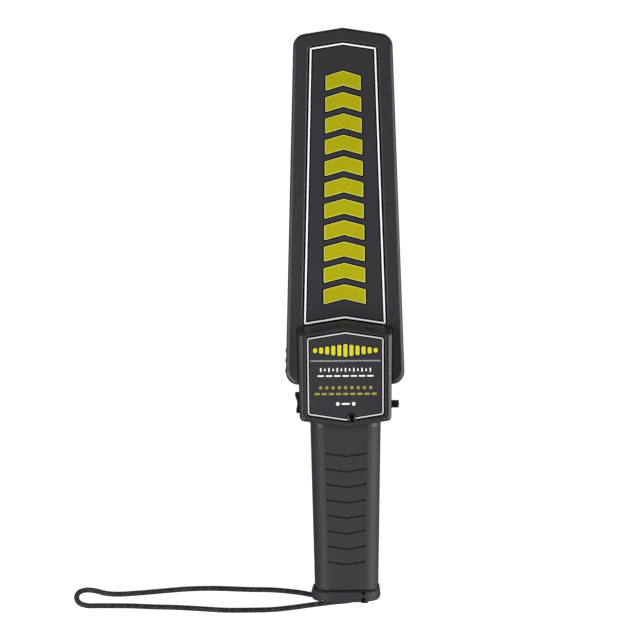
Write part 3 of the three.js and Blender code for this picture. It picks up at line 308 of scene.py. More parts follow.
    def bevel_rim(self, height: float, width: float, steps: int = 2) -> "Workpiece":
        """Rounds the outermost loop of edges round the flat face at a height."""
        self.simplify()
        with self.editing():
            bpy.ops.mesh.select_mode(type="EDGE")
            bpy.ops.mesh.select_all(action="DESELECT")
            mesh = bmesh.from_edit_mesh(self.object.data)
            on_edge = level(height)
            rim = set()
            for edge in mesh.edges:
                a, b = (v.co / MM for v in edge.verts)
                flat = sum(abs(face.normal.z) > 0.999 for face in edge.link_faces)
                if flat == 1 and on_edge((a + b) / 2, (b - a).normalized()):
                    rim.add(edge)
            reached = {max((v for edge in rim for v in edge.verts), key=lambda v: v.co.x)}
            front = list(reached)
            while front:
                for edge in front.pop().link_edges:
                    if edge in rim and not edge.select:
                        edge.select_set(True)
                        front.extend(v for v in edge.verts if v not in reached)
                        reached.update(edge.verts)
            bmesh.update_edit_mesh(self.object.data)
            bpy.ops.mesh.bevel(offset=width * MM, segments=steps, affect="EDGES", clamp_overlap=False)
        return self.simplify()

    def facets(self, test: Test) -> "Workpiece":
        """Splits the faces that a test picks into triangles."""
        with self.editing():
            self.pick(Element.FACES, test)
            bpy.ops.mesh.quads_convert_to_tris()
        return self

    def move(self, test: Test, move: Point) -> "Workpiece":
        """Moves the corners that a test picks."""
        with self.editing():
            self.pick(Element.CORNERS, test)
            bpy.ops.transform.translate(value=metres(move))
        return self

    def shift(self, move: Point) -> "Workpiece":
        """Moves the whole piece."""
        with self.editing():
            bpy.ops.transform.translate(value=metres(move))
        return self

    def resize(self, scale: Point, centre: Point) -> "Workpiece":
        """Scales the whole piece about a point."""
        with self.editing():
            bpy.ops.transform.resize(value=scale, center_override=metres(centre))
        return self

    def copy(self, name: str) -> "Workpiece":
        """A copy of this piece with its own mesh."""
        only(self.object)
        bpy.ops.object.duplicate(linked=False)
        return Workpiece(name)

    def flatten(self) -> "Workpiece":
        """Splits the faces that aren't flat, which a boolean needs."""
        with self.editing():
            bpy.ops.mesh.vert_connect_nonplanar(angle_limit=FLAT_ANGLE)
        return self

    def boolean(self, operation: Operation, *tools: "Workpiece") -> "Workpiece":
        """Works on this piece with each tool in turn, and uses the tools up."""
        self.flatten()
        for tool in tools:
            tool.flatten()
            only(self.object)
            bpy.ops.object.modifier_add(type="BOOLEAN")
            modifier = self.object.modifiers[-1]
            modifier.operation = operation.value
            modifier.solver = self.solver.value
            modifier.object = tool.object
            bpy.ops.object.modifier_apply(modifier=modifier.name)
            bpy.data.objects.remove(tool.object)
            self.close()
        return self

    def close(self) -> None:
        """Merges doubled corners and closes the hair-thin gaps that a boolean can leave."""
        with self.editing():
            bpy.ops.mesh.remove_doubles(threshold=DOUBLED * MM)
            bpy.ops.mesh.select_all(action="SELECT")
            bpy.ops.mesh.fill_holes(sides=4)

    def cut(self, *tools: "Workpiece") -> "Workpiece":
        """Cuts the tools out of the piece."""
        return self.boolean(Operation.CUT, *tools)

    def join(self, *tools: "Workpiece") -> "Workpiece":
        """Joins the tools to the piece as one body."""
        return self.boolean(Operation.JOIN, *tools)

    def keep(self, tool: "Workpiece") -> "Workpiece":
        """Keeps what lies inside the tool."""
        return self.boolean(Operation.KEEP, tool)

    def smooth(self, angle: float = SMOOTH_ANGLE) -> "Workpiece":
        """Shades the rounds smoothly and keeps the flats flat."""
        self.simplify()
        only(self.object)
        bpy.ops.object.shade_smooth_by_angle(angle=angle)
        bpy.ops.object.modifier_add(type="WEIGHTED_NORMAL")
        modifier = self.object.modifiers[-1]
        modifier.keep_sharp = True
        bpy.ops.object.modifier_apply(modifier=modifier.name)
        return self

    def dress(
        self, finish: "Finish", body: str = ROOT, replaces: Sequence[str] = (), slot: str = ""
    ) -> None:
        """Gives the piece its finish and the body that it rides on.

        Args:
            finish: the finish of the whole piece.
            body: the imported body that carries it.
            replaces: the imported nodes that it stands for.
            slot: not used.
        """
        self.object.data.materials.clear()
        self.object.data.materials.append(finish.material())
        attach(self.object, body)
        if replaces:
            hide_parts(*replaces)
        log.info("%s rides on %s, %d faces", self.object.name, body, len(self.object.data.polygons))


def moved_in(outline: Sequence[Corner], inset: float) -> list[Corner]:
    """An outline whose corners run anticlockwise, with its sides moved inwards by inset."""
    points = [Vector(corner) for corner in outline]
    count = len(points)
    along = [(points[(i + 1) % count] - points[i]).normalized() for i in range(count)]
    moved = [points[i] + Vector((-along[i].y, along[i].x)) * inset for i in range(count)]
    corners = []
    for i in range(count):
        before, after = along[i - 1], along[i]
        gap = moved[i] - moved[i - 1]
        reach = (gap.x * after.y - gap.y * after.x) / (before.x * after.y - before.y * after.x)
        corners.append(tuple(moved[i - 1] + before * reach))
    return corners


@dataclass(frozen=True)
class Shield:
    """A tapering outline with chevron ends, all in mm.

    A rise is how much further from the tip an end's corners lie than its middle.
    """

    top: float
    bottom: float
    top_width: float
    bottom_width: float
    top_rise: float
    bottom_rise: float
    radius: float

    def sharp(self) -> list[Corner]:
        """The outline's corners before any inset, anticlockwise from the tip's peak."""
        top, bottom = self.top_width / 2, self.bottom_width / 2
        high, low = station(self.top + self.top_rise), station(self.bottom + self.bottom_rise)
        foot = [] if self.bottom_rise == 0 else [(0.0, station(self.bottom))]
        left = [(0.0, station(self.top)), (-top, high), (-bottom, low)]
        return [*left, *foot, (bottom, low), (top, high)]

    def corners(self, inset: float = 0.0) -> list[Corner]:
        """The outline's corners, moved inwards by inset."""
        return moved_in(self.sharp(), inset)

    def ring(self, height: float, inset: float = 0.0) -> list[Point]:
        """The outline's corners at a height."""
        return [(x, y, height) for x, y in self.corners(inset)]

    def rounded(
        self, piece: Workpiece, inset: float = 0.0, steps: int = 6, reach: float = 9.0
    ) -> Workpiece:
        """Rounds the upright edges of a body that was lofted through this outline.

        Args:
            piece: the body.
            inset: how far its outline was moved inwards, which makes its corners' radius smaller.
            steps: how many faces make a corner.
            reach: how far from an outline's corner its edge may lie.

        Returns:
            The body.
        """
        corners = [Vector(corner) for corner in self.corners()]
        for i, corner in enumerate(corners):
            before = corner - corners[i - 1]
            after = corners[(i + 1) % len(corners)] - corner
            turn = abs(before.angle_signed(after))
            peak = abs(corner.x) < 1.0
            radius = PEAK_RADIUS if peak else max(self.radius - inset, 0.3)
            width = radius * math.tan(turn / 2)
            piece.bevel(
                lambda p, d, c=corner: abs(d.z) > 0.3 and (p.xy - c).length < reach,
                width,
                2 if peak else steps,
            )
        return piece

    def prism(self, name: str, low: float, high: float, inset: float = 0.0, steps: int = 5) -> Workpiece:
        """A body with this outline, moved inwards by inset, between two heights."""
        rings = [self.ring(low, inset), self.ring(high, inset)]
        return self.rounded(Workpiece.loft(name, rings), inset, steps)

    def band(
        self,
        name: str,
        heights: Corner,
        insets: Corner,
        steps: tuple[int, int] = (5, 5),
        solver: Solver = Solver.CLOSED_BODIES,
    ) -> Workpiece:
        """A band that follows this outline.

        Args:
            name: what the band is called.
            heights: where it starts and ends in height.
            insets: how far its outer and its inner side are moved inwards.
            steps: how many faces make a corner of either side.
            solver: how its inside is cut out.

        Returns:
            The band.
        """
        low, high = heights
        band = self.prism(name, low, high, insets[0], steps[0])
        band.solver = solver
        return band.cut(self.prism("within", low - 1, high + 1, insets[1], steps[1]))


def rise(width: float) -> float:
    """How far a chevron of that width goes down at its ends."""
    return CHEVRON_SLOPE * width / 2


def level(*heights: float) -> Test:
    """A test for the level edges at any of these heights."""
    return lambda p, d: abs(d.z) < 0.01 and any(abs(p.z - height) < 0.02 for height in heights)


def lengthways(p: Vector, d: Vector) -> bool:
    """A test for the edges that run along the wand."""
    return abs(d.y) > 0.9


@dataclass(frozen=True)
class WandSizes:
    """The sizes that several of the wand's pieces share."""

    paddle_length: float = 256.5
    paddle_top: float = 70.8
    paddle_bottom: float = 85.4
    paddle_thickness: float = 28.0
    box_start: float = 210.3
    box_end: float = 286.2
    box_top: float = 67.4
    box_bottom: float = 65.4
    box_height: float = 45.0
    grip_end: float = 401.6
    grip_top_width: float = 50.2
    grip_end_width: float = 45.3
    grip_back: float = 1.8
    grip_top_depth: float = 34.0
    grip_end_depth: float = 32.4
    grip_corner: float = 11.0
    wall: float = 2.4
    front_wall: float = 3.4
    cap_end: float = 410.1
    cap_width: float = 49.2
    cap_thickness: float = 36.2
    cap_corner: float = 12.0
    cap_screw: Corner = (14.0, 397.6)
    cap_screw_seat: float = 3.3

    def paddle_half(self, distance: float) -> float:
        """The paddle's half width at a distance from the tip."""
        return between(self.paddle_top, self.paddle_bottom, distance / self.paddle_length) / 2

    def box_half(self, distance: float) -> float:
        """The box's half width at a distance from the tip, below the break in its sides."""
        share = (distance - self.box_start) / (self.box_end - self.box_start)
        return between(self.box_top, self.box_bottom, share) / 2

    def grip_share(self, distance: float) -> float:
        """How far down the grip a place lies, from 0 at the box to 1 at the grip's end."""
        return (distance - self.box_end) / (self.grip_end - self.box_end)

    def grip_front(self, distance: float) -> float:
        """The height of the grip's front at a distance from the tip."""
        return self.grip_back + between(self.grip_top_depth, self.grip_end_depth, self.grip_share(distance))

    def grip_ring(self, distance: float, inset: float = 0.0) -> list[Point]:
        """The grip's four corners at a distance from the tip, moved inwards by inset."""
        half = between(self.grip_top_width, self.grip_end_width, self.grip_share(distance)) / 2 - inset
        low, high = self.grip_back + inset, self.grip_front(distance) - inset
        y = station(distance)
        return [(-half, y, low), (half, y, low), (half, y, high), (-half, y, high)]


WAND = WandSizes()


def linear(code: str) -> tuple[float, float, float, float]:
    """An sRGB colour, written as six hex digits, as linear light."""
    parts = [int(code[i : i + 2], 16) / 255 for i in (0, 2, 4)]
    straight = [c / 12.92 if c <= 0.04045 else ((c + 0.055) / 1.055) ** 2.4 for c in parts]
    return (straight[0], straight[1], straight[2], 1.0)


def add_node(tree: Tree, kind: str, inputs: dict | None = None, **settings: object) -> Node:
    """Adds a node to a tree.

    Args:
        tree: the material's or the world's nodes.
        kind: the node's own type.
        inputs: for an input's name or number, its constant or the output that it is linked to.
        settings: the node's own settings.

    Returns:
        The node.
    """
    node = tree.nodes.new(kind)
    for name, value in settings.items():
        setattr(node, name, value)
    for key, value in (inputs or {}).items():
        if isinstance(value, Socket):
            tree.links.new(value, node.inputs[key])
        else:
            node.inputs[key].default_value = value
    return node


@dataclass(frozen=True)
class Finish:
    """A finish with a tone that drifts a little and a fine grain, as most made surfaces have."""

    name: str
    colour: str
    roughness: float
    metallic: float = 0.0
    ior: float = 1.5
    drift: float = 0.12
    drift_size: float = 22.0
    grain: float = 0.7
    grain_depth: float = 0.02
    gloss_drift: float = 0.06
    coat: float = 0.0

    def material(self) -> bpy.types.Material:
        """The finish as a material, made the first time that it is asked for."""
        known = bpy.data.materials.get(self.name)
        if known is not None:
            return known
        made = bpy.data.materials.new(self.name)
        made.use_nodes = True
        tree = made.node_tree
        tree.nodes.clear()
        shader = add_node(
            tree,
            "ShaderNodeBsdfPrincipled",
            {"Metallic": self.metallic, "Coat Weight": self.coat, "Coat Roughness": 0.1},
        )
        if not self.metallic:
            shader.inputs["IOR"].default_value = self.ior
        output = add_node(tree, "ShaderNodeOutputMaterial", {"Surface": shader.outputs["BSDF"]})
        output.is_active_output = True
        place = add_node(tree, "ShaderNodeTexCoord").outputs["Object"]
        self.weave(tree, shader, place)
        return made

    def noise(self, tree: Tree, place: Socket, size: float, detail: float = 2.0) -> Socket:
        """Noise whose patches are that many mm across."""
        inputs = {"Vector": place, "Scale": 1 / (size * MM), "Detail": detail, "Roughness": 0.55}
        return add_node(tree, "ShaderNodeTexNoise", inputs).outputs["Fac"]

    def tone(self, tree: Tree, share: Socket) -> Socket:
        """The finish's colour, which drifts darker and lighter by a share."""
        base = linear(self.colour)
        dark = tuple(c * (1 - self.drift) for c in base[:3]) + (1.0,)
        light = tuple(min(c * (1 + self.drift), 1.0) for c in base[:3]) + (1.0,)
        mixed = add_node(tree, "ShaderNodeMix", {0: share, 6: dark, 7: light}, data_type="RGBA")
        return mixed.outputs[2]

    def add_grain(self, tree: Tree, shader: Node, place: Socket) -> None:
        """Links the finish's grain to its shader, as a bump of its depth in mm."""
        height = self.noise(tree, place, self.grain)
        inputs = {"Height": height, "Distance": self.grain_depth * MM, "Strength": 1.0}
        bump = add_node(tree, "ShaderNodeBump", inputs)
        tree.links.new(bump.outputs["Normal"], shader.inputs["Normal"])

    def weave(self, tree: Tree, shader: Node, place: Socket) -> None:
        """Links the finish's patterns to its shader."""
        drift = self.noise(tree, place, self.drift_size, 3.0)
        tree.links.new(self.tone(tree, drift), shader.inputs["Base Color"])
        span = {
            "Value": self.noise(tree, place, self.drift_size / 6),
            "To Min": self.roughness - self.gloss_drift,
            "To Max": self.roughness + self.gloss_drift,
        }
        gloss = add_node(tree, "ShaderNodeMapRange", span)
        tree.links.new(gloss.outputs[0], shader.inputs["Roughness"])
        self.add_grain(tree, shader, place)


@dataclass(frozen=True)
class GripFinish(Finish):
    """The housing's finish, with the coarser and duller grain that its grip has."""

    grip_roughness: float = 0.6
    grip_specular: float = 0.36

    def weave(self, tree: Tree, shader: Node, place: Socket) -> None:
        """Links the finish's patterns to its shader, and dulls all that lies past the box."""
        super().weave(tree, shader, place)
        gloss = shader.inputs["Roughness"].links[0].from_socket
        along = add_node(tree, "ShaderNodeSeparateXYZ", {0: place}).outputs[1]
        edge = {0: along, 1: station(WAND.box_end) * MM}
        past = add_node(tree, "ShaderNodeMath", edge, operation="LESS_THAN").outputs[0]
        rough = add_node(tree, "ShaderNodeMix", {0: past, 2: gloss, 3: self.grip_roughness}).outputs[0]
        tree.links.new(rough, shader.inputs["Roughness"])
        shine = add_node(tree, "ShaderNodeMix", {0: past, 2: 0.5, 3: self.grip_specular}).outputs[0]
        tree.links.new(shine, shader.inputs["Specular IOR Level"])


@dataclass(frozen=True)
class BraidFinish(Finish):
    """A braid's strands in two directions, with painted highlights on some of them where they would catch
    the light.
    """

    # The colour of the painted highlights on the braid.
    light: str = "7c7a80"
    threads: int = 18
    sheen: float = 0.03

    def weave(self, tree: Tree, shader: Node, place: Socket) -> None:
        """Links the braid's colour, with its painted highlights, and its fibres to the shader."""
        spot = add_node(tree, "ShaderNodeUVMap", uv_map="braid").outputs[0]
        spot = add_node(tree, "ShaderNodeSeparateXYZ", {0: spot})
        waves = []
        for number, turns in enumerate((self.threads, self.threads / 2)):
            angle = {0: spot.outputs[number], 1: 2 * math.pi * turns}
            angle = add_node(tree, "ShaderNodeMath", angle, operation="MULTIPLY").outputs[0]
            waves.append(add_node(tree, "ShaderNodeMath", {0: angle}, operation="COSINE").outputs[0])
        strands = {0: waves[1], 1: waves[0]}
        strands = add_node(tree, "ShaderNodeMath", strands, operation="SUBTRACT").outputs[0]
        # Painted highlights: the pale colour is mixed in where the braid's pattern and a noise are both
        # high.
        painted_glints = {0: self.noise(tree, place, 2.5), 1: strands}
        painted_glints = add_node(tree, "ShaderNodeMath", painted_glints, operation="MULTIPLY").outputs[0]
        share = {"Value": painted_glints, "From Min": 0.45, "From Max": 1.1}
        share = add_node(tree, "ShaderNodeMapRange", share).outputs[0]
        dark = self.tone(tree, self.noise(tree, place, 3.0))
        colours = {0: share, 6: dark, 7: linear(self.light)}
        mixed = add_node(tree, "ShaderNodeMix", colours, data_type="RGBA")
        tree.links.new(mixed.outputs[2], shader.inputs["Base Color"])
        shader.inputs["Roughness"].default_value = self.roughness
        shader.inputs["Sheen Weight"].default_value = self.sheen
        self.add_grain(tree, shader, place)


@dataclass(frozen=True)
class Ink(Finish):
    """A screen-printed ink: a thin even layer with a faint orange peel."""

    roughness: float = 0.5
    drift: float = 0.05
    grain: float = 1.2
    grain_depth: float = 0.01


# ABS from a spark-eroded mould: charcoal, satin, with a grain of about 0.1 mm, drawn at 0.7 mm to show
HOUSING_ABS = GripFinish("abs_spark_grained_charcoal", "27262b", 0.46, ior=1.54, drift=0.1, grain_depth=0.03)
# The same ABS in the end cap's and the door's own mould, a little duller
CAP_ABS = Finish("abs_satin_charcoal", "2c2b30", 0.55, ior=1.33, drift=0.1, grain=0.8)
# Polycarbonate film printed from behind: an even charcoal under a satin skin
LABEL_FILM = Finish(
    "polycarbonate_film_charcoal", "2c2b30", 0.4, drift=0.07, grain=0.9, grain_depth=0.01
)
# Acrylic foam tape round the plates, black and dull
# Black, dull sheet on the pockets' floors round the plates and in the cap's catches: painted shade, a dark
# sheet that stands for the shadow in these narrow trenches and holes
SHADE_TAPE = Finish("black_tape_painted_shade", "020203", 0.85, ior=1.12, drift=0.2, grain=0.5, grain_depth=0.03)
# Screen-printed inks, flat and even, dull enough to keep their colour under a light
WHITE_INK = Ink("screen_ink_white", "fdfdfb", drift=0.03)
GREY_INK = Ink("screen_ink_grey", "909195", drift=0.04)
SILVER_INK = Ink("screen_ink_silver_grey", "d6d8dc", 0.45, drift=0.04)
BRIGHT_INK = Ink("screen_ink_bright_yellow", "cfc926")
DULL_YELLOW_INK = Ink("screen_ink_dull_yellow", "9c9536")
YELLOW_INK = Ink("screen_ink_yellow", "a8a300", ior=1.25, drift=0.06)
PALE_INK = Ink("screen_ink_pale_yellow", "cccb62")
BLACK_INK = Ink("screen_ink_black", "030303", 0.7, ior=1.15, drift=0.1)
# Polished black ABS of the side controls
CONTROL_ABS = Finish("abs_polished_black", "0b0b0d", 0.28, ior=1.54, drift=0.15, grain=1.4, grain_depth=0.01)
# Smoked acrylic of the lamp's window: deep and glossy
LENS_ACRYLIC = Finish(
    "acrylic_smoked", "030304", 0.05, ior=1.49, gloss_drift=0.02, grain=3.0, grain_depth=0.002
)
# Nylon 66 of headers and the status lamp's body
PALE_NYLON = Finish("nylon_natural", "c9c6ba", 0.55, ior=1.53)
# Zinc-plated steel, bright with a fine drawn grain
ZINC_STEEL = Finish("steel_zinc_plated", "9a9da1", 0.3, metallic=1.0, drift=0.15, grain=0.5)
# Brass of the contacts and the motor's weight, warm and bright
BRASS = Finish("brass_turned", "b8944a", 0.28, metallic=1.0, drift=0.12, grain=0.5)
# Enamelled copper wire wound on the coils, with the ridges of its turns
COPPER = Finish("copper_enamelled", "a4522a", 0.32, metallic=1.0, drift=0.2, grain=0.4, grain_depth=0.06)
# Glass laminate under a green solder mask
BOARD_FR4 = Finish("laminate_green_masked", "1f5a38", 0.4, ior=1.55, drift=0.2, drift_size=5.0, grain=0.9)
# Moulded epoxy of the chips, matt and a little sparkling
CHIP_EPOXY = Finish("epoxy_moulded_black", "1b1b1d", 0.55, drift=0.15, grain=0.4)
# Lacquered steel can of the battery
BATTERY_SKIN = Finish("steel_lacquered_grey", "4d4f55", 0.3, drift=0.1, coat=0.4)
# Moulded polyester of the trimmer's body
TRIMMER_BLUE = Finish("polyester_moulded_blue", "2a4f8f", 0.4, drift=0.1)
# Shrunk sleeve of the capacitors
CAPACITOR_SLEEVE = Finish("pet_sleeve_dark", "20242c", 0.35, drift=0.1)
# Soft insulation of the leads
RED_PVC = Finish("pvc_red", "a32620", 0.45, drift=0.1)
BLACK_PVC = Finish("pvc_black", "1a1a1b", 0.45, drift=0.1)
# Moulded black ABS of the switches, the sounder and the battery's tray, plain and satin
INNER_ABS = Finish("abs_black_plain", "141416", 0.5, ior=1.54)
# Nylon multifilament, braided: near black and dull, with pale painted highlights where fibres would turn to
# the light
BRAIDED_NYLON = BraidFinish(
    "nylon_braided_black", "0b0a0b", 0.7, ior=1.3, drift=0.3, grain=0.35, grain_depth=0.06
)


@dataclass(frozen=True)
class ControlSizes:
    """The places and sizes of the side controls and the lamp."""

    height: float = 27.0
    rocker_at: float = 268.9
    rocker_wall: float = -32.928
    rocker_length: float = 15.0
    rocker_width: float = 8.4
    button_at: float = 270.3
    button_radius: float = 2.75
    button_reach: float = 5.3
    lens_radius: float = 2.75
    lens_proud: float = 0.9
    lens_place: Corner = (3.95, 279.0)

    def lens_space(self, low: float) -> Workpiece:
        """The cutter of the lamp's hole, from a height up through the box's face."""
        radius = self.lens_radius + CLEARANCE
        profile = [(low, radius), (WAND.box_height + OVERRUN, radius)]
        return Workpiece.upright("lens_space", self.lens_place, profile, 40)


@dataclass(frozen=True)
class Plate:
    """A printed plate, and the pocket in the housing's face that it lies in."""

    outline: Shield
    floor: float
    face: float
    gap: float
    flare: float
    thickness: float = 0.9
    lift: float = 0.1

    def top(self) -> float:
        """The height of its printed side."""
        return self.floor + self.lift + self.thickness


CONTROLS = ControlSizes()
LABEL = Plate(Shield(13.0, 209.2, 47.17, 58.3, 3.656, 4.518, 1.2), 26.7, WAND.paddle_thickness, 1.1, 0.9)
PANEL = Plate(Shield(218.9, 281.1, 54.0, 53.4, 4.185, -4.139, 2.0), 43.7, WAND.box_height, 0.95, 0.2)


@dataclass
class Casing:
    """The two housings: the paddle, the box and the grip, parted at half the paddle's depth."""

    paddle_corner: float = 8.2
    paddle_edge: float = 0.3
    paddle_profile: tuple[Point, ...] = ((25.8, 0.1, 1.9), (27.25, 0.8, 1.9), (28.0, 2.15, 1.9))
    back_profile: tuple[Corner, ...] = ((0.0, 1.9), (1.0, 0.9))
    box_edge: float = 0.4
    box_brow: float = 43.2
    brow_draft: float = 0.7
    joint_width: float = 0.8
    joint_depth: float = 1.2
    joint_waist: float = 262.0
    rim_line: Corner = (0.55, 1.05)
    rim_depth: float = 0.5
    box_back_width: float = 62.6
    box_lift: float = 0.03
    face_top_width: float = 61.0
    face_bottom_width: float = 60.4
    face_top_run: float = 5.4
    face_bottom_run: float = 2.4
    box_corner: float = 2.4
    grip_root: float = 14.0
    seam: float = 0.35
    seam_gap: float = 0.1
    pocket_rim: tuple[Corner, ...] = ((-1.0, 0.0), (-1 / 3, 0.55), (1 / 3, 1.9))
    groove_count: int = 8
    groove_profile: tuple[Point, ...] = (
        (1.6, 0.36, 0.3), (0.7, 0.46, 0.42), (0.2, 0.52, 0.54), (0.0, 0.58, 1.0), (-0.5, 1.0, 2.2),
    )
    groove_start: float = 20.7
    groove_pitch: float = 10.96
    groove_first: float = 29.4
    groove_last: float = 26.8
    screw_seat: float = 9.0
    sink_radius: float = 2.7
    sink_flare: float = 1.1
    cap_sink_radius: float = 2.2
    trimmer_at: Corner = (4.0, 234.3)
    trimmer_hole: tuple[Corner, ...] = ((-1.0, 3.0), (0.4, 2.0), (6.0, 2.0))
    boss_radius: float = 3.3
    boss_foot: float = 1.0
    boss_top: float = 25.6
    louvre_at: float = 239.1
    louvre_pitch: float = 7.2
    louvre_low: float = 15.4
    louvre_high: float = 22.5
    screws: tuple[Corner, ...] = (
        (-25.01, 18.0), (25.01, 18.0), (-35.0, 206.7), (35.0, 206.7), (-27.0, 252.0), (27.0, 252.0),
        (0.0, 341.3),
    )

    def paddle_outline(self) -> Shield:
        """The paddle's outline."""
        top, bottom = WAND.paddle_top, WAND.paddle_bottom
        return Shield(0, WAND.paddle_length, top, bottom, rise(top), 0, self.paddle_corner)

    def box_outline(self, top: float, bottom: float, top_width: float, bottom_width: float) -> Shield:
        """An outline of the box at one of its levels."""
        rises = (rise(top_width), -rise(bottom_width))
        return Shield(top, bottom, top_width, bottom_width, *rises, self.box_corner)

    def box_levels(self) -> list[tuple[float, Shield]]:
        """The box's outlines at its back, its foot, the paddle's front and its own face."""
        back = self.box_outline(WAND.box_start, WAND.box_end, self.box_back_width, self.box_back_width)
        foot = self.box_outline(WAND.box_start, WAND.box_end, WAND.box_top, WAND.box_bottom)
        face = self.box_outline(
            WAND.box_start + self.face_top_run,
            WAND.box_end - self.face_bottom_run,
            self.face_top_width,
            self.face_bottom_width,
        )
        share = (self.box_brow - WAND.paddle_thickness) / (WAND.box_height - WAND.paddle_thickness)
        brow = self.box_outline(
            WAND.box_start + self.face_top_run * share,
            WAND.box_end - 0.1,
            WAND.box_top - 2 * self.brow_draft,
            WAND.box_bottom - 2 * self.brow_draft,
        )
        return [
            (self.box_lift, back),
            (PARTING, foot),
            (WAND.paddle_thickness, foot),
            (self.box_brow, brow),
            (WAND.box_height, face),
        ]

    def paddle(self) -> Workpiece:
        """The paddle's outer form."""
        outline = self.paddle_outline()
        rings = [outline.ring(height, inset) for height, inset in self.back_profile]
        rings.append(outline.ring(PARTING))
        for height, inset, tip in self.paddle_profile:
            rings.append(replace(outline, top=tip).ring(height, inset))
        piece = outline.rounded(Workpiece.loft("paddle_form", rings), steps=8)
        heights = [height for height, *_ in self.back_profile + self.paddle_profile]
        return piece.bevel(level(*heights), self.paddle_edge, 2)

    def box(self) -> Workpiece:
        """The box's outer form, with its sides drawn in towards the face."""
        levels = self.box_levels()
        piece = Workpiece.loft("box_form", [outline.ring(height) for height, outline in levels])
        levels[1][1].rounded(piece)
        return piece.bevel(level(self.box_lift, self.box_brow, WAND.box_height), self.box_edge, 2)

    def grip(self, inset: float = 0.0, run: float = 0.0) -> Workpiece:
        """The grip's form, or the space inside it with an inset."""
        ends = [WAND.box_end - self.grip_root, WAND.grip_end + run]
        piece = Workpiece.loft("grip_form", [WAND.grip_ring(end, inset) for end in ends])
        return piece.bevel(lengthways, WAND.grip_corner - inset, 10)

    def form(self) -> Workpiece:
        """The whole outside of the two housings."""
        form = self.paddle().join(self.box(), self.grip())
        return form.cut(*self.joint_lines(), self.rim_groove())

    def joint_lines(self) -> list[Workpiece]:
        """The cutters of the fine lines where the box meets the paddle's front and the grip's."""
        levels = self.box_levels()
        waist = station(self.joint_waist)
        places = (
            (levels[2][1], WAND.paddle_thickness, -HALF_LENGTH, waist),
            (levels[3][1], WAND.grip_front(WAND.box_end), waist, HALF_LENGTH),
        )
        reach, high = WAND.paddle_bottom, WAND.box_height + OVERRUN
        made = []
        for outline, face, near, far in places:
            low = face - self.joint_depth
            line = outline.band("joint", (low, high), (-self.joint_width, 0.0))
            made.append(line.cut(Workpiece.block("rest", (-reach, near, low - 1), (reach, far, high + 1))))
        return made

    def rim_groove(self) -> Workpiece:
        """The cutter of the fine line just inside the edge of the box's face."""
        heights = (WAND.box_height - self.rim_depth, WAND.box_height + OVERRUN)
        return self.box_levels()[-1][1].band("rim", heights, self.rim_line)

    def room(self) -> Workpiece:
        """The space inside the two housings."""
        wall = WAND.wall
        outline = self.paddle_outline()
        high = WAND.paddle_thickness - WAND.front_wall
        sections = ((wall, wall + 0.6), (PARTING, wall), (high, wall + 1.4))
        rings = [outline.ring(height, inset) for height, inset in sections]
        paddle = outline.rounded(Workpiece.loft("paddle_room", rings), wall, 4)
        levels = [(wall + self.box_lift, self.box_levels()[0][1]), *self.box_levels()[1:3]]
        levels.append((WAND.box_height - WAND.front_wall, self.box_levels()[-1][1]))
        box = Workpiece.loft("box_room", [shape.ring(height, wall) for height, shape in levels])
        levels[1][1].rounded(box, wall, 2)
        return paddle.join(box, self.grip(wall, OVERRUN))

    def pocket(self, plate: Plate) -> Workpiece:
        """The cutter of a plate's pocket, with a flared rim."""
        rings = [plate.outline.ring(plate.floor, -plate.gap)]
        for up, out in self.pocket_rim:
            rings.append(plate.outline.ring(plate.face + up * plate.flare, -plate.gap - out * plate.flare))
        return plate.outline.rounded(Workpiece.loft("pocket", rings), -plate.gap, 5, 12.0)

    def groove_row(self, front: bool) -> Workpiece:
        """The cutters of the chevron grooves across the grip's front or back."""
        first = WAND.box_end + self.groove_start
        start = WAND.grip_front(first) if front else WAND.grip_back
        row = [self.groove(self.groove_first / 2, first, start, 1.0 if front else -1.0)]
        for number in range(1, self.groove_count):
            middle = first + number * self.groove_pitch
            face = WAND.grip_front(middle) if front else WAND.grip_back
            spread = between(1.0, self.groove_last / self.groove_first, number / (self.groove_count - 1))
            copy = row[0].copy("groove").resize((spread, 1, 1), (0, station(first), start))
            row.append(copy.shift((0, first - middle, face - start)))
        return Workpiece.gathered("grooves", row)

    def groove(self, half: float, middle: float, face: float, way: float) -> Workpiece:
        """One chevron groove's cutter, wider towards the surface.

        Args:
            half: half the groove's width across the grip.
            middle: how far from the tip its lowest point lies.
            face: the height of the grip's surface.
            way: 1 if the surface faces up and -1 if it faces down.

        Returns:
            The cutter.
        """
        rings = []
        for depth, before, after in self.groove_profile:
            ends = middle - CHEVRON_SLOPE * half
            far = half + (before + after - 1.1) / 2
            z = face - way * depth
            side = [(far, ends + after), (far, ends - before)]
            outline = [(-x, distance) for x, distance in reversed(side)]
            outline += [(0, middle + after), *side, (0, middle - before)]
            rings.append([(x, station(distance), z) for x, distance in outline])
        return Workpiece.loft("groove", rings).bevel(lambda p, d: abs(d.z) > 0.3 and abs(p.x) > 5, 0.25, 2)

    def half_space(self, low: float, high: float) -> Workpiece:
        """A block round the whole wand between two heights."""
        across, along = WAND.paddle_bottom, HALF_LENGTH + OVERRUN
        return Workpiece.block("half_space", (-across, -along, low), (across, along, high))

    def openings(self) -> list[Workpiece]:
        """The cutters of the controls' and the lamp's openings in the front housing."""
        y, z = station(CONTROLS.rocker_at), CONTROLS.height
        half, tall = CONTROLS.rocker_length / 2 + 2 * CLEARANCE, CONTROLS.rocker_width / 2 + CLEARANCE
        inner, outer = CONTROLS.rocker_wall + WAND.wall + OVERRUN, CONTROLS.rocker_wall - OVERRUN
        rocker = Workpiece.block("rocker_hole", (outer, y - half, z - tall), (inner, y + half, z + tall))
        wall, radius = WAND.box_half(CONTROLS.button_at), CONTROLS.button_radius + CLEARANCE
        profile = [(wall - WAND.wall - OVERRUN, radius), (wall + OVERRUN, radius)]
        button = Workpiece.turned("button_hole", (0, station(CONTROLS.button_at), z), ACROSS, profile)
        return [rocker, button, CONTROLS.lens_space(WAND.box_height - 8)]

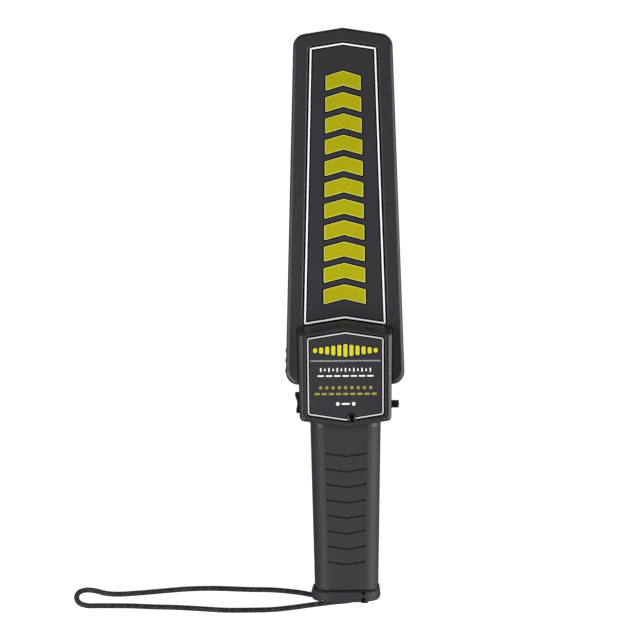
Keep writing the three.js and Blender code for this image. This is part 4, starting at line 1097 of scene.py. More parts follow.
    def side_block(self, name: str, at: float, half: float, sides: Corner, heights: Corner) -> Workpiece:
        """A block in the paddle's left side.

        Args:
            name: what the block is called.
            at: how far from the tip its middle lies.
            half: half its width along the wand.
            sides: how far it stands out of the side and how far it reaches in.
            heights: where it starts and ends in height.

        Returns:
            The block.
        """
        side = -WAND.paddle_half(at)
        low = (side - sides[0], station(at + half), heights[0])
        return Workpiece.block(name, low, (side + sides[1], station(at - half), heights[1]))

    def louvre(self) -> tuple[list[Workpiece], list[Workpiece]]:
        """The louvre's ribs on the paddle's left side, and the cutters of its slots."""
        low, high = self.louvre_low, self.louvre_high
        ribs, slots = [], []
        for number in (-1, 0, 1):
            at = self.louvre_at + number * self.louvre_pitch
            rib = self.side_block("rib", at, 1.4, (0.4, 1.2), (low - 0.8, high + 1.4))
            side = -WAND.paddle_half(at)
            ribs.append(rib.bevel(lambda p, d, s=side: p.x < s - 0.3, 0.35, 3))
        for number in (-0.5, 0.5):
            at = self.louvre_at + number * self.louvre_pitch
            slots.append(self.side_block("slot", at, 1.3, (OVERRUN, WAND.wall + 1), (low, high)))
        return ribs, slots

    def bosses(self, low: float, high: float) -> list[Workpiece]:
        """The screws' bosses between two heights."""
        made = []
        for x, distance in self.screws:
            foot = max(low, WAND.grip_back + self.boss_foot) if distance > WAND.box_end else low
            profile = [(foot, self.boss_radius), (high, self.boss_radius)]
            made.append(Workpiece.upright("boss", (x, distance), profile, 20))
        return made


@dataclass
class HousingMaker(Casing):
    """Makes the front and the rear housing from the casing's forms."""

    def build(self) -> None:
        """Makes both housings."""
        form = self.form()
        room = self.room()
        self.front(form.copy("front_shell"), room.copy("front_room"))
        self.rear(form, room)

    def front(self, piece: Workpiece, room: Workpiece) -> None:
        """The front housing, with its pockets, openings, louvre and grooves."""
        piece.cut(self.half_space(-OVERRUN, PARTING))
        ribs, slots = self.louvre()
        piece.join(*ribs)
        piece.cut(self.pocket(LABEL), self.pocket(PANEL), self.groove_row(True))
        piece.cut(room)
        piece.join(*self.bosses(PARTING, self.boss_top))
        piece.cut(*self.openings(), *slots)
        piece.bevel_rim(PARTING, self.seam)
        piece.smooth().dress(HOUSING_ABS, ROOT, ["front_housing"], "housing")

    def rear(self, piece: Workpiece, room: Workpiece) -> None:
        """The rear housing, with its screw recesses, trimmer hole and grooves."""
        top = PARTING - self.seam_gap
        piece.object.name = "rear_shell"
        piece.cut(self.half_space(top, WAND.box_height + OVERRUN))
        piece.cut(self.groove_row(False))
        piece.cut(room)
        piece.join(*self.bosses(self.boss_foot, top))
        radius = self.sink_radius
        sinks = []
        for place in self.screws:
            face = WAND.grip_back if place[1] > WAND.box_end else 0.0
            profile = [(face - 0.6, radius + self.sink_flare), (face + 0.5, radius)]
            profile.append((self.screw_seat, radius))
            sinks.append(Workpiece.upright("sink", place, profile))
        sinks.append(Workpiece.upright("trimmer_hole", self.trimmer_at, self.trimmer_hole))
        profile = [(height, self.cap_sink_radius) for height in (WAND.grip_back - 1.0, WAND.cap_screw_seat)]
        sinks.append(Workpiece.upright("cap_sink", WAND.cap_screw, profile))
        piece.cut(*sinks)
        piece.bevel_rim(top, self.seam)
        piece.smooth().dress(HOUSING_ABS, ROOT, ["rear_housing"], "housing")


@dataclass
class PrintedPlates:
    """The two plates in their pockets, with their borders and marks."""

    ink: float = 0.03
    border_inset: float = 0.15
    border_width: float = 1.15
    line_width: float = 1.0
    panel_inset: float = 0.2
    panel_border: float = 0.8
    panel_line: float = 0.7
    bar_count: int = 11
    bar_pitch: float = 15.2
    bar_depth: float = 10.4
    bar_slope: float = 0.3
    bar_first: float = 25.0
    bar_last: float = 30.0
    bars_from: float = 33.0
    divider_at: float = 239.1
    ticks_at: float = 245.4
    dashes_at: float = 249.7
    dots_at: float = 257.9
    bars_at: float = 262.3
    foot_at: float = 269.3
    level_at: float = 231.8
    level_reach: int = 5
    level_pitch: float = 4.25
    level_width: float = 2.9
    level_height: float = 9.0
    level_step: float = 1.15
    level_edge: float = 1.1

    def build(self) -> None:
        """Makes both plates and all that is printed on them."""
        # The black layers under the plates are painted shade: they darken the trenches round the plates.
        self.painted_shade_bed("paddle_shade_bed", LABEL).smooth().dress(SHADE_TAPE)
        self.holed(self.painted_shade_bed("panel_shade_bed", PANEL)).smooth().dress(SHADE_TAPE)
        self.plate("paddle_plate", LABEL).smooth().dress(LABEL_FILM, ROOT, ["paddle_label"], "label")
        plate = self.holed(self.plate("panel_plate", PANEL))
        plate.smooth().dress(LABEL_FILM, ROOT, ["panel_label"], "label")
        start, end = self.border_inset, self.border_inset + self.border_width
        self.border("paddle_border", LABEL, start, end).dress(WHITE_INK)
        self.border("paddle_line", LABEL, end, end + self.line_width).dress(BLACK_INK)
        start, end = self.panel_inset, self.panel_inset + self.panel_border
        self.holed(self.border("panel_border", PANEL, start, end)).dress(SILVER_INK)
        self.holed(self.border("panel_line", PANEL, end, end + self.panel_line)).dress(BLACK_INK)
        self.bars(LABEL.top())
        self.panel_marks(PANEL.top())

    def holed(self, piece: Workpiece) -> Workpiece:
        """A layer of the box's plate with the lamp's hole cut out of it."""
        return piece.cut(CONTROLS.lens_space(PANEL.floor - OVERRUN))

    def painted_shade_bed(self, name: str, plate: Plate) -> Workpiece:
        """The black sheet on a pocket's floor, which shows round the plate as painted shade in the trench.
        """
        rings = [plate.outline.ring(plate.floor + up, 0.04 - plate.gap) for up in (0.0, 0.08)]
        return plate.outline.rounded(Workpiece.loft(name, rings), -plate.gap, 5)

    def plate(self, name: str, plate: Plate) -> Workpiece:
        """A plate with rounded corners and edges."""
        top = plate.top()
        return plate.outline.prism(name, plate.floor + plate.lift, top).bevel(level(top), 0.15, 2)

    def border(self, name: str, plate: Plate, start: float, end: float) -> Workpiece:
        """A printed line that runs round a plate, between two insets."""
        heights = (plate.top() - self.ink, plate.top() + self.ink)
        return plate.outline.band(name, heights, (start, end), (4, 3), Solver.THIN_PRINT)

    def chevron(
        self, name: str, middle: float, half: float, grow: float, face: float, top: float
    ) -> Workpiece:
        """One chevron mark that points to the tip, grown on all sides."""
        peak, end = station(middle), station(middle + self.bar_slope * half)
        deep = self.bar_depth
        left = [(-half, end), (-half, end - deep)]
        right = [(half, end - deep), (half, end)]
        outline = [(0.0, peak), *left, (0.0, peak - deep), *right]
        corners = moved_in(outline, -grow)
        rings = [[(x, y, z) for x, y in corners] for z in (face - self.ink, face + top)]
        piece = Workpiece.loft(name, rings)
        return piece.bevel(lambda p, d: abs(d.z) > 0.9 and abs(p.x) > 3, max(0.5 + grow, 0.2), 3)

    def bars(self, face: float) -> None:
        """The column of graduated chevrons down the paddle's plate: fill, pale edge and black edge."""
        layers = (
            ("paddle_marks_edge", 0.9, self.ink, BLACK_INK),
            ("paddle_marks_rim", 0.0, self.ink * 2, PALE_INK),
            ("paddle_marks", -0.55, self.ink * 3, YELLOW_INK),
        )
        half = self.bar_first / 2
        for name, grow, top, ink in layers:
            row = [self.chevron(name, self.bars_from, half, grow, face, top)]
            for number in range(1, self.bar_count):
                spread = between(1.0, self.bar_last / self.bar_first, number / (self.bar_count - 1))
                copy = row[0].copy("bar").resize((spread, 1, 1), (0, 0, 0))
                row.append(copy.shift((0, -number * self.bar_pitch, 0)))
            Workpiece.gathered(name, row).dress(ink)

    def mark(self, x: float, distance: float, width: float, depth: float, face: float) -> Workpiece:
        """One small printed bar with rounded corners, by its middle."""
        y = station(distance)
        low = (x - width / 2, y - depth / 2, face - self.ink)
        bar = Workpiece.block("mark", low, (x + width / 2, y + depth / 2, face + self.ink))
        return bar.bevel(lambda p, d: abs(d.z) > 0.9, min(width, depth) * 0.3, 3)

    def dot(self, x: float, distance: float, radius: float, face: float) -> Workpiece:
        """One small printed dot."""
        profile = [(face - self.ink, radius), (face + self.ink, radius)]
        return Workpiece.upright("dot", (x, distance), profile, 20)

    def row(self, distance: float, reach: int, pitch: float, size: Corner, face: float) -> list[Workpiece]:
        """A row of equal bars, with reach of them on each side of the middle one."""
        return [self.mark(n * pitch, distance, *size, face) for n in range(-reach, reach + 1)]

    def level_sign(self, name: str, grow: float, face: float) -> Workpiece:
        """The row of bars that shows how strong a signal is, highest in the middle, grown on all sides."""
        bars = []
        for number in range(-self.level_reach, self.level_reach + 1):
            tall = self.level_height - self.level_step * abs(number)
            x = number * self.level_pitch
            bars.append(self.mark(x, self.level_at, self.level_width + grow, tall + grow, face))
        return Workpiece.gathered(name, bars)

    def panel_marks(self, face: float) -> None:
        """The panel's printed marks: a level sign, a divider, scales and dots."""
        self.level_sign("panel_level", 0.0, face).dress(BRIGHT_INK)
        edge = self.level_sign("panel_level_edge", self.level_edge, face)
        edge.shift((0, 0, -self.ink * 0.6)).dress(BLACK_INK)
        divider = self.row(self.divider_at, 0, 0.0, (49.2, 0.9), face)
        Workpiece.gathered("panel_divider", divider).dress(GREY_INK)
        white = [self.mark(n * 2.9, self.ticks_at, 0.9, 1.9 if n % 2 else 2.8, face) for n in range(-6, 7)]
        white += self.row(self.dashes_at, 3, 5.8, (4.4, 1.0), face)
        white += self.row(self.foot_at, 0, 0.0, (5.6, 1.1), face)
        white += [self.dot(x, self.foot_at, 1.25, face) for x in (-5.6, 5.6)]
        Workpiece.gathered("panel_scale", white).dress(WHITE_INK)
        yellow = [self.dot(n * 4.4, self.dots_at, 1.15, face) for n in range(-4, 5)]
        yellow += self.row(self.bars_at, 4, 5.0, (3.6, 1.5), face)
        Workpiece.gathered("panel_dots", yellow).dress(DULL_YELLOW_INK)


@dataclass
class SideControls:
    """The rocker switch's paddle, the fluted button and the lamp's window."""

    pivot_x: float = -30.528
    root: float = 1.2
    face: tuple[Corner, ...] = (
        (1.922, 1.0), (2.79, 0.95), (3.1, 0.8), (2.666, 0.55), (1.652, 0.22), (1.4, 0.0),
        (1.512, -0.25), (1.98, -0.55), (2.2, -0.8), (1.936, -0.95), (1.364, -1.0),
    )
    top_crest: float = 3.1
    low_crest: float = 2.2
    ridges: Corner = (0.35, 0.44)
    flutes: int = 12
    flute_depth: float = 0.35
    head_length: float = 11.0
    head_round: tuple[Corner, ...] = ((1.0, 0.0), (0.45, 0.2), (0.12, 0.6), (0.0, 1.2))
    stem_radius: float = 1.1
    stem_length: float = 4.6

    def build(self) -> None:
        """Makes all three."""
        self.rocker()
        self.button()
        self.lens()

    def rocker(self) -> None:
        """The rocker: two crests with a dip between them and ridges for the thumb."""
        wall, half, y = CONTROLS.rocker_wall, CONTROLS.rocker_length / 2, station(CONTROLS.rocker_at)
        back, tall = self.pivot_x + self.root, CONTROLS.rocker_width / 2
        low, high = CONTROLS.height - tall, CONTROLS.height + tall
        face = [(wall - out, half * up) for out, up in self.face]
        profile = [(back, half * 0.6), (wall, half), *face, (wall, -half), (back, -half * 0.6)]
        rings = [[(x, y + up, z) for x, up in profile] for z in (low, high)]
        piece = Workpiece.loft("rocker_paddle", rings)
        sides = level(low, high)
        piece.bevel(lambda p, d: sides(p, d) and p.x < wall - 0.5, 0.45, 3)
        ridges = []
        deep, wide = self.ridges
        for up in (0.9, 0.72, 0.54, -0.54, -0.72, -0.9):
            x = wall - (self.top_crest if up > 0 else self.low_crest)
            near, far = y + up * half - wide / 2, y + up * half + wide / 2
            ridges.append(Workpiece.block("ridge", (x - 1.0, near, low - 1), (x + deep, far, high + 1)))
        piece.cut(Workpiece.gathered("ridges", ridges))
        piece.smooth().dress(CONTROL_ABS, "rocker", ["power_rocker"], "black_plastic")

    def button(self) -> None:
        """The button's fluted head and its stem."""
        y, z = station(CONTROLS.button_at), CONTROLS.height
        tip = WAND.box_half(CONTROLS.button_at) + CONTROLS.button_reach
        foot = tip - self.head_length
        count = self.flutes * 4
        rings = []
        head = [(tip - down, less) for down, less in self.head_round]
        for x, less in ((foot, 0.3), (foot + 0.3, 0.0), *head):
            ring = []
            for k in range(count):
                angle = 2 * math.pi * k / count
                groove = self.flute_depth * (0.5 - 0.5 * math.cos(self.flutes * angle))
                radius = CONTROLS.button_radius - groove - less
                ring.append((x, y + radius * math.cos(angle), z + radius * math.sin(angle)))
            rings.append(ring)
        piece = Workpiece.loft("button_head", rings)
        profile = [(foot - self.stem_length, self.stem_radius), (foot + 0.5, self.stem_radius)]
        piece.join(Workpiece.turned("stem", (0, y, z), ACROSS, profile, 20))
        piece.smooth(math.radians(40)).dress(CONTROL_ABS, "button", ["sensitivity_button"], "black_plastic")

    def lens(self) -> None:
        """The lamp's domed window."""
        radius, face = CONTROLS.lens_radius, WAND.box_height
        profile = [(face - WAND.front_wall, radius), (face - 0.3, radius)]
        for k in range(9):
            angle = math.pi / 2 * k / 8.2
            profile.append((face + CONTROLS.lens_proud * math.sin(angle), radius * math.cos(angle)))
        piece = Workpiece.upright("lamp_window", CONTROLS.lens_place, profile, 40)
        piece.smooth(math.radians(50)).dress(LENS_ACRYLIC, ROOT, ["indicator_lens"], "lens")


@dataclass
class EndCap:
    """The grip's end cap with its ears, the battery door that slides in it, and the strap's lug."""

    edge: float = 0.25
    sections: tuple[tuple[float, float, float, float], ...] = (
        (402.4, -23.7, 23.5, 0.9), (403.6, -24.3, 23.8, 0.0), (406.2, -25.3, 24.2, 0.0),
        (408.2, -24.8, 23.7, 0.0), (409.5, -23.6, 22.5, 0.0), (410.1, -22.2, 21.1, 0.5),
    )
    ear_start: float = 15.0
    ear_rise: float = 1.6
    plug: float = 8.0
    door_x: float = -3.0
    door_half: float = 14.45
    door_low: float = 5.2
    door_depth: float = 2.2
    lip: float = 1.0
    lug_low: Point = (10.6, 414.8, 1.0)
    lug_high: Point = (15.6, 407.2, 14.5)
    strap_heights: Corner = (10.6, 4.4)
    strap_at: float = 412.4
    ridge_half: float = 6.0
    ridge_pitch: float = 2.4
    bay_half: float = 13.6
    bay_heights: Corner = (8.9, 27.1)
    catch_x: float = 10.5
    catch_width: float = 2.5
    catch_depth: float = 1.2
    catches: tuple[Corner, Corner] = ((403.95, 0.8), (408.5, 1.4))
    shade_pad_gap: float = 0.12
    shade_pad_sink: float = 0.7
    arrow: tuple[Corner, ...] = (
        (0.0, 21.0), (-3.2, 17.4), (-1.2, 17.4), (-1.2, 13.0), (1.2, 13.0), (1.2, 17.4), (3.2, 17.4)
    )

    def slab(self, name: str) -> Workpiece:
        """The cap's outer form, with its sides drawn in at both ends."""
        rings = []
        for distance, left, right, inset in self.sections:
            y, high = station(distance), WAND.cap_thickness - inset
            rings.append([(left, y, inset), (right, y, inset), (right, y, high), (left, y, high)])
        piece = Workpiece.loft(name, rings).bevel(lambda p, d: abs(d.y) > 0.1, WAND.cap_corner, 12)
        edges = [station(self.sections[number][0]) for number in (0, 1, -1)]
        rims: Test = lambda p, d: abs(d.y) < 0.01 and min(abs(p.y - y) for y in edges) < 0.01
        return piece.bevel(rims, self.edge, 2)

    def shell(self) -> Workpiece:
        """The cap's outer form, whose rim rises at both sides and grips the housing's end."""
        body = self.slab("cap_body")
        rim = self.sections[0][0]
        grip = Workpiece.loft("grip", [WAND.grip_ring(d, -CLEARANCE) for d in (rim - 3, rim + 0.1)])
        body.cut(grip.bevel(lengthways, WAND.grip_corner + CLEARANCE, 12))
        body.facets(lambda p, n: n.y > 0.9 and p.y > station(rim + 0.05))
        low, floor = station(self.sections[1][0] + 1), station(rim + 0.05)

        def lifted(point: Vector) -> bool:
            """Whether a point of the cap rises with the rim."""
            return point.y > floor or (point.y > low and self.depth(point) < 1.2)

        columns = {round(v.co.x / MM, 3) for v in body.object.data.vertices if lifted(v.co / MM)}
        for x in sorted(columns):
            share = (abs(x) - self.ear_start) / (self.sections[0][2] - self.ear_start)
            if share > 0.05:
                raised = (0, self.ear_rise * min(share, 1.0) ** 2, 0)
                body.move(lambda p, n, at=x: abs(p.x - at) < 0.002 and lifted(p), raised)
        return body

    def depth(self, point: Vector) -> float:
        """How far inside the cap's widest section a point lies."""
        middle = WAND.cap_thickness / 2
        x = abs(point.x) - (WAND.cap_width / 2 - WAND.cap_corner)
        z = abs(point.z - middle) - (middle - WAND.cap_corner)
        return WAND.cap_corner - (math.hypot(x, z) if x > 0 and z > 0 else max(x, z))

    def door_space(self, gap: float) -> Workpiece:
        """A prism round the door, or with a gap round the channel that it slides in, with its lips."""
        half, low = self.door_half + gap, self.door_low - gap
        deep = station(WAND.cap_end - self.door_depth - min(gap, 0.1))
        lip = station(WAND.cap_end - self.door_depth / 2 - (0 if gap else CLEARANCE))
        face, far = station(WAND.cap_end + OVERRUN), half + self.lip
        side = [(half, face), (half, lip), (far, lip), (far, deep)]
        outline = side + [(-x, y) for x, y in reversed(side)]
        rings = [[(self.door_x + x, y, z) for x, y in outline] for z in (low, WAND.cap_thickness + OVERRUN)]
        return Workpiece.loft("door_panel", rings)

    def build(self) -> None:
        """Makes the cap and the door."""
        self.cap()
        self.door()

    def cap(self) -> None:
        """The cap's body."""
        body = self.shell()
        ends = (WAND.grip_end - self.plug, self.sections[1][0])
        plug = Workpiece.loft("plug", [WAND.grip_ring(end, WAND.wall + CLEARANCE) for end in ends])
        body.join(plug.bevel(lengthways, WAND.grip_corner - WAND.wall - CLEARANCE, 8))
        far, near = station(WAND.cap_end + OVERRUN), station(WAND.grip_end - self.plug - OVERRUN)
        low, high = self.bay_heights
        start, end = self.door_x - self.bay_half, self.door_x + self.bay_half
        bay = Workpiece.block("bay", (start, far, low), (end, near, high))
        pilot = Workpiece.upright("pilot", WAND.cap_screw, [(0.0, 1.1), (12.0, 1.1)], 16)
        body.cut(bay, self.door_space(CLEARANCE), pilot)
        body.cut(*[self.catch_block("catch", place, 0.0) for place in self.catches])
        # Black sheets sunk in the catches are painted shade: they darken the square holes' floors.
        shade_pads = [self.catch_block("shade_pad", place, self.shade_pad_gap) for place in self.catches]
        shade_pads[1].cut(self.door_space(CLEARANCE))
        Workpiece.gathered("cap_catch_shade_pads", shade_pads).smooth().dress(SHADE_TAPE)
        body.join(self.lug())
        body.smooth().dress(CAP_ABS, ROOT, ["end_cap"], "cap")

    def catch_block(self, name: str, place: Corner, less: float) -> Workpiece:
        """A block for one of the two square catches in the cap's front, or for the black sheet of painted
        shade that darkens its floor.
        """
        middle, half = place[0], place[1] - less
        face = WAND.cap_thickness
        low = (self.catch_x + less, station(middle + half), face - self.catch_depth + less)
        top = face - self.shade_pad_sink if less else face + OVERRUN
        high = (self.catch_x + self.catch_width - less, station(middle - half), top)
        return Workpiece.block(name, low, high)

    def lug(self) -> Workpiece:
        """The lug with the two holes that the strap goes into."""
        (x0, far, z0), (x1, near, z1) = self.lug_low, self.lug_high
        lug = Workpiece.block("lug", (x0, station(far), z0), (x1, station(near), z1))
        lug.bevel(lambda p, d: abs(d.x) > 0.9 and p.y < station(far) + 0.1 and p.z > z0 + 1, 2.6, 1)
        lug.bevel(lambda p, d: p.y < station(far) + 0.1 or lengthways(p, d), 0.6, 3)
        profile = [(-0.6, 2.2), (0.4, 2.0), (3.4, 2.0)]
        feet = [(x0, station(self.strap_at), z) for z in self.strap_heights]
        return lug.cut(*[Workpiece.turned("hole", foot, ACROSS, profile, 24) for foot in feet])

    def door(self) -> None:
        """The battery door with its thumb ridges and an arrow that shows which way it slides."""
        body = self.door_space(0).keep(self.slab("cap_slab"))
        face = station(WAND.cap_end)
        cutters = []
        for number in range(3):
            z = WAND.cap_thickness - WAND.cap_corner / 2 - number * self.ridge_pitch
            start, end = self.door_x - self.ridge_half, self.door_x + self.ridge_half
            ridge = Workpiece.block("ridge", (start, face - 1, z - 0.55), (end, face + 0.4, z + 0.55))
            cutters.append(ridge.bevel(lambda p, d: abs(d.x) < 0.1 and abs(d.y) > 0.9, 0.5, 4))
        rings = [[(self.door_x + x, face + y, z) for x, z in self.arrow] for y in (-1.0, 0.35)]
        cutters.append(Workpiece.loft("arrow", rings))
        cutters.append(self.catch_block("catch", self.catches[1], 0.0))
        body.cut(Workpiece.gathered("cutters", cutters))
        body.smooth().dress(CAP_ABS, "door", ["battery_door"], "cap")
        # A black sheet sunk in the door's catch is painted shade on the hole's floor.
        shade_pad = self.door_space(0).keep(self.catch_block("catch", self.catches[1], self.shade_pad_gap))
        shade_pad.object.name = "door_catch_shade_pad"
        shade_pad.smooth().dress(SHADE_TAPE, "door")


@dataclass
class Fasteners:
    """The housing's screws in their deep recesses, and the cap's small one."""

    head: tuple[Corner, ...] = ((1.0, 0.55), (0.93, 0.8), (0.75, 0.95), (0.4, 1.0), (0.0, 1.0))
    head_radius: float = 2.3
    head_height: float = 1.9
    shank_radius: float = 1.4
    length: float = 12.0
    pitch: float = 1.0
    recess: Corner = (1.35, 0.32)
    recess_depth: float = 1.1
    small: Point = (0.82, 0.82, 0.7)

    def model(self) -> Workpiece:
        """One cross-recessed screw with its head down and its seat at height 0."""
        profile = [(-self.head_height * down, self.head_radius * out) for down, out in self.head]
        profile.append((0.01, self.shank_radius * 0.85))
        for number in range(int((self.length - 1.5) / self.pitch)):
            start = 1.0 + number * self.pitch
            profile += [(start, self.shank_radius * 0.82), (start + self.pitch * 0.45, self.shank_radius)]
        profile += [(self.length - 0.6, self.shank_radius * 0.8), (self.length, 0.3)]
        screw = Workpiece.turned("screw", (0, 0, 0), UP, profile, 20)
        low, deep = -self.head_height - 1, -self.head_height + self.recess_depth
        sides = (self.recess, self.recess[::-1])
        return screw.cut(*[Workpiece.block("bar", (-x, -y, low), (x, y, deep)) for x, y in sides])

    def build(self) -> None:
        """Puts a screw in each recess."""
        model, casing = self.model(), Casing()
        for number, (x, distance) in enumerate(casing.screws, 1):
            copy = model.copy(f"screw_{number}").shift((x, station(distance), casing.screw_seat))
            copy.smooth().dress(ZINC_STEEL, ROOT, [f"housing_screw_{number}"], "steel")
        small = model.resize(self.small, (0, 0, 0))
        small.object.name = "cap_fastener"
        x, distance = WAND.cap_screw
        small.shift((x, station(distance), WAND.cap_screw_seat))
        small.smooth().dress(ZINC_STEEL, ROOT, ["cap_screw"], "steel")


@dataclass
class Innards:
    """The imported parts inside, which keep their shape and get their real finishes."""

    nodes: dict[str, bpy.types.Object]

    def build(self) -> None:
        """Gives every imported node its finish."""
        finishes = {
            COPPER: ("transmit_coil", "receive_coil"),
            BOARD_FR4: ("main_board", "contact_board"),
            CHIP_EPOXY: ("control_chip", "output_transistor"),
            PALE_NYLON: ("coil_header", "power_header", "status_led", "coil_former"),
            TRIMMER_BLUE: ("trimmer_body",),
            BRASS: ("motor_weight", "positive_contact", "negative_contact"),
            ZINC_STEEL: ("vibration_motor", "motor_shaft"),
            BATTERY_SKIN: ("battery",),
            CAPACITOR_SLEEVE: ("filter_capacitor_1", "filter_capacitor_2"),
            RED_PVC: ("transmit_coil_lead", "battery_lead_red", "motor_lead"),
            BLACK_PVC: ("receive_coil_lead", "battery_lead_black", "sounder_lead"),
        }
        chosen = {name: finish for finish, names in finishes.items() for name in names}
        for name, node in self.nodes.items():
            finish = chosen.get(name, ZINC_STEEL if "screw" in name else INNER_ABS)
            for slot in node.material_slots:
                slot.material = finish.material()
        log.info("%d packed nodes have their finishes", len(self.nodes))


def for_camera(tree: Tree, output: str, seen: Node, lit: Node) -> None:
    """Links one shader to an output for the camera's own rays, and another for all others."""
    ray = add_node(tree, "ShaderNodeLightPath").outputs["Is Camera Ray"]
    mixed = add_node(tree, "ShaderNodeMixShader", {0: ray, 1: lit.outputs[0], 2: seen.outputs[0]})
    add_node(tree, output, {"Surface": mixed.outputs[0]})


@dataclass
class Studio:
    """The camera at the photograph's place, soft lights and a white floor."""

    camera_place: Point = (-17.66, -2.9, 1250.0)
    camera_turn: float = -0.0071
    lens: float = 96.6
    sensor: float = 36.0
    floor_size: float = 6.0
    floor_glow: float = 0.9
    fill: float = 0.1

    def set_camera(self) -> None:
        """Puts the camera straight above the wand."""
        data = bpy.data.cameras.new("camera")
        data.lens = self.lens
        data.sensor_width = self.sensor
        data.clip_start, data.clip_end = 0.01, 20.0
        camera = bpy.data.objects.new("camera", data)
        camera.location = metres(self.camera_place)
        camera.rotation_euler = (0, 0, self.camera_turn)
        bpy.context.scene.collection.objects.link(camera)
        bpy.context.scene.camera = camera

    def set_floor(self) -> None:
        """Lays the white floor just under the wand, bright to the camera and dim to the wand."""
        bpy.ops.mesh.primitive_plane_add(size=self.floor_size, location=(0, 0, -0.0001))
        floor = bpy.context.object
        floor.name = "floor"
        made = bpy.data.materials.new("paper_white")
        made.use_nodes = True
        tree = made.node_tree
        tree.nodes.clear()
        paper = add_node(tree, "ShaderNodeBsdfDiffuse", {"Color": linear("8c8c8c")})
        glow = {"Color": linear("ffffff"), "Strength": self.floor_glow}
        glow = add_node(tree, "ShaderNodeEmission", glow)
        seen = add_node(tree, "ShaderNodeAddShader", {0: paper.outputs[0], 1: glow.outputs[0]})
        dim = add_node(tree, "ShaderNodeBsdfDiffuse", {"Color": linear("7a7a7a")})
        for_camera(tree, "ShaderNodeOutputMaterial", seen, dim)
        floor.data.materials.append(made)

    def add_light(self, name: str, place: Point, size: Corner, power: float) -> None:
        """Adds a soft box that looks at the wand's middle, placed in metres."""
        data = bpy.data.lights.new(name, "AREA")
        data.shape = "RECTANGLE"
        data.size, data.size_y = size
        data.energy = power
        light = bpy.data.objects.new(name, data)
        light.location = place
        light.rotation_euler = (-Vector(place)).to_track_quat("-Z", "Y").to_euler()
        bpy.context.scene.collection.objects.link(light)

    def set_lights(self) -> None:
        """Hangs the soft boxes and sets the white surroundings."""
        self.add_light("right_box", (0.75, -0.2, 0.3), (1.2, 0.5), 11.0)
        self.add_light("left_box", (-0.52, -0.2, 0.57), (1.2, 0.3), 7.6)
        self.add_light("top_box", (0.0, 0.75, 0.95), (0.7, 0.3), 0.7)
        world = bpy.data.worlds.new("white_room")
        bpy.context.scene.world = world
        world.use_nodes = True
        tree = world.node_tree
        tree.nodes.clear()
        white = {"Color": linear("ffffff")}
        seen = add_node(tree, "ShaderNodeBackground", {**white, "Strength": 1.0})
        fill = add_node(tree, "ShaderNodeBackground", {**white, "Strength": self.fill})
        for_camera(tree, "ShaderNodeOutputWorld", seen, fill)
        bpy.context.scene.view_settings.view_transform = "Standard"


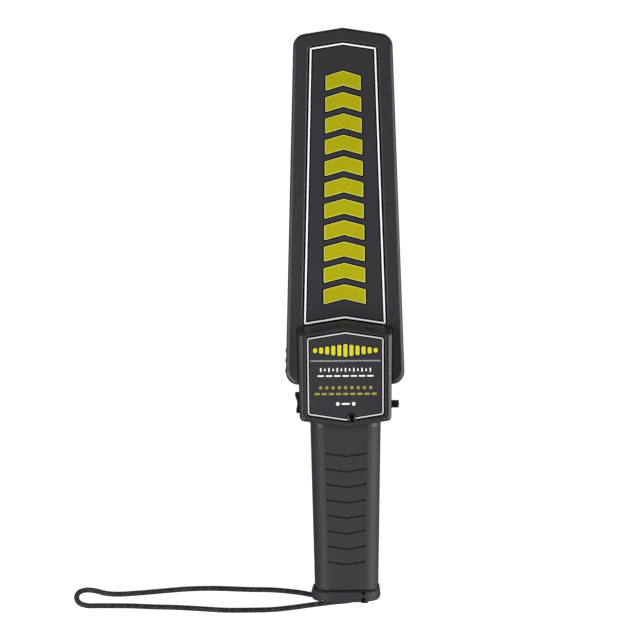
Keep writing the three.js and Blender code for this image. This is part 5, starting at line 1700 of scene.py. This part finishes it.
@dataclass
class WristStrap:
    """The braided cord that runs from the cap's lug in one long loop and back."""

    diameter: float = 3.8
    route: tuple[Point, ...] = (
        (12, 412.4, 10.6), (7, 412.4, 10.6), (1, 412.4, 9.8), (-7, 412.3, 7.6),
        (-14, 411.9, 4.8), (-20, 411.1, 2.6), (-26.3, 409.7, 2.0), (-35.1, 408.1, 1.95),
        (-52.6, 406.3, 1.95), (-70.1, 405.8, 1.95), (-96, 404.8, 1.95), (-113.5, 405, 1.95),
        (-131, 406.2, 1.95), (-148.4, 407.6, 1.95), (-167.3, 408.5, 1.95), (-176.1, 407.6, 1.95),
        (-182, 406.0, 1.95), (-189.2, 405.4, 1.95), (-194.4, 407.2, 1.95), (-196.0, 411, 1.95),
        (-194.0, 414.7, 1.95), (-188.6, 416.6, 1.95), (-180, 416.8, 1.95), (-170.3, 416.9, 1.95),
        (-157.3, 417.1, 1.95), (-139.8, 417.9, 1.95), (-122.4, 418.5, 1.95), (-104.9, 419.6, 1.95),
        (-87.6, 420.7, 1.95), (-70, 420.8, 1.95), (-52.6, 420.4, 1.95), (-35.1, 418.6, 1.95),
        (-26.4, 417.4, 1.95), (-18, 416.4, 2.0), (-9, 415.3, 2.2), (0, 414.4, 3.2),
        (7, 413.1, 4.2), (12, 412.8, 4.4),
    )
    strands: int = 8
    sides: int = 32
    step: float = 0.34
    relief: float = 0.14

    def fine_line(self) -> list[Vector]:
        """The centreline in mm, smooth through the route's points."""
        points = [Vector((x, station(distance), z)) for x, distance, z in self.route]
        points = [2 * points[0] - points[1], *points, 2 * points[-1] - points[-2]]
        line = []
        for p0, p1, p2, p3 in zip(points, points[1:], points[2:], points[3:]):
            d0, d1, d2 = ((b - a).length ** 0.5 for a, b in ((p0, p1), (p1, p2), (p2, p3)))
            t1 = ((p1 - p0) / d0 - (p2 - p0) / (d0 + d1) + (p2 - p1) / d1) * d1
            t2 = ((p2 - p1) / d1 - (p3 - p1) / (d1 + d2) + (p3 - p2) / d2) * d1
            c2 = -3 * p1 + 3 * p2 - 2 * t1 - t2
            c3 = 2 * p1 - 2 * p2 + t1 + t2
            for t in (k / 24 for k in range(24)):
                line.append(p1 + t1 * t + c2 * t * t + c3 * t**3)
        return [*line, points[-2]]

    def evenly(self, line: Sequence[Vector]) -> tuple[list[Vector], float]:
        """A line's points at even steps, and its length."""
        lengths = [0.0]
        for a, b in zip(line, line[1:]):
            lengths.append(lengths[-1] + (b - a).length)
        total = lengths[-1]
        count = round(total / self.step)
        points, at = [], 0
        for k in range(count + 1):
            goal = total * k / count
            while at < len(line) - 2 and lengths[at + 1] < goal:
                at += 1
            share = (goal - lengths[at]) / (lengths[at + 1] - lengths[at])
            points.append(line[at].lerp(line[at + 1], share))
        return points, total

    def height(self, turn: float, along: float) -> float:
        """How far the braid stands out at a place, from 0 to 1."""
        cell = math.pi * self.diameter / self.strands
        p = self.strands * turn + along / (2 * cell)
        q = self.strands * turn - along / (2 * cell)
        over = (math.floor(p) + math.floor(q)) % 2 == 0
        upper, lower = (p, q) if over else (q, p)
        across = math.sin(math.pi * (upper % 1))
        ends = math.sin(math.pi * (lower % 1))
        return 0.25 + 0.75 * across * (0.55 + 0.45 * ends)

    def ring(self, form: bmesh.types.BMesh, points: Sequence[Vector], k: int, along: float) -> list:
        """The corners of one ring round the line's point k, which lies that far along it."""
        way = (points[min(k + 1, len(points) - 1)] - points[max(k - 1, 0)]).normalized()
        side = way.cross(Vector(UP)).normalized()
        top = side.cross(way)
        ring = []
        for s in range(self.sides):
            angle = 2 * math.pi * s / self.sides
            radius = self.diameter / 2 - self.relief * (1 - self.height(s / self.sides, along))
            place = points[k] + (side * math.cos(angle) + top * math.sin(angle)) * radius
            ring.append(form.verts.new(place * MM))
        return ring

    def tube(self, points: Sequence[Vector], length: float) -> bpy.types.Mesh:
        """The braided cord's mesh round a line, with its own map for the braid's threads."""
        form = bmesh.new()
        step = length / (len(points) - 1)
        rings = [self.ring(form, points, k, k * length / (len(points) - 1)) for k in range(len(points))]
        uv = form.loops.layers.uv.new("braid")
        for k, (a, b) in enumerate(zip(rings, rings[1:])):
            for s in range(self.sides):
                t = (s + 1) % self.sides
                face = form.faces.new((a[s], a[t], b[t], b[s]))
                spots = ((s, k), (s + 1, k), (s + 1, k + 1), (s, k + 1))
                for loop, (u, v) in zip(face.loops, spots):
                    loop[uv].uv = (u / self.sides, v * step / (math.pi * self.diameter))
        form.faces.new(list(reversed(rings[0])))
        form.faces.new(rings[-1])
        bmesh.ops.recalc_face_normals(form, faces=form.faces)
        for face in form.faces:
            face.smooth = True
        mesh = bpy.data.meshes.new("wrist_strap")
        form.to_mesh(mesh)
        form.free()
        return mesh

    def build(self) -> None:
        points, length = self.evenly(self.fine_line())
        mesh = self.tube(points, length)
        mesh.materials.append(BRAIDED_NYLON.material())
        strap = bpy.data.objects.new("wrist_strap", mesh)
        bpy.context.scene.collection.objects.link(strap)
        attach(strap, ROOT)
        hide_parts("strap_cord")
        path = [tuple(p * MM) for p in points[::4]]
        path.append(tuple(points[-1] * MM))
        log.info("wrist_strap is %.1f mm long", length)


def main() -> None:
    """Builds the wand's pieces in order and reports each."""
    logging.basicConfig(level=logging.INFO, format="%(message)s")
    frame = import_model()
    studio = Studio()
    studio.set_camera()
    WristStrap().build()
    HousingMaker().build()
    PrintedPlates().build()
    SideControls().build()
    EndCap().build()
    Fasteners().build()
    Innards(frame["nodes"]).build()
    studio.set_floor()
    studio.set_lights()


if __name__ == "__main__":
    main()
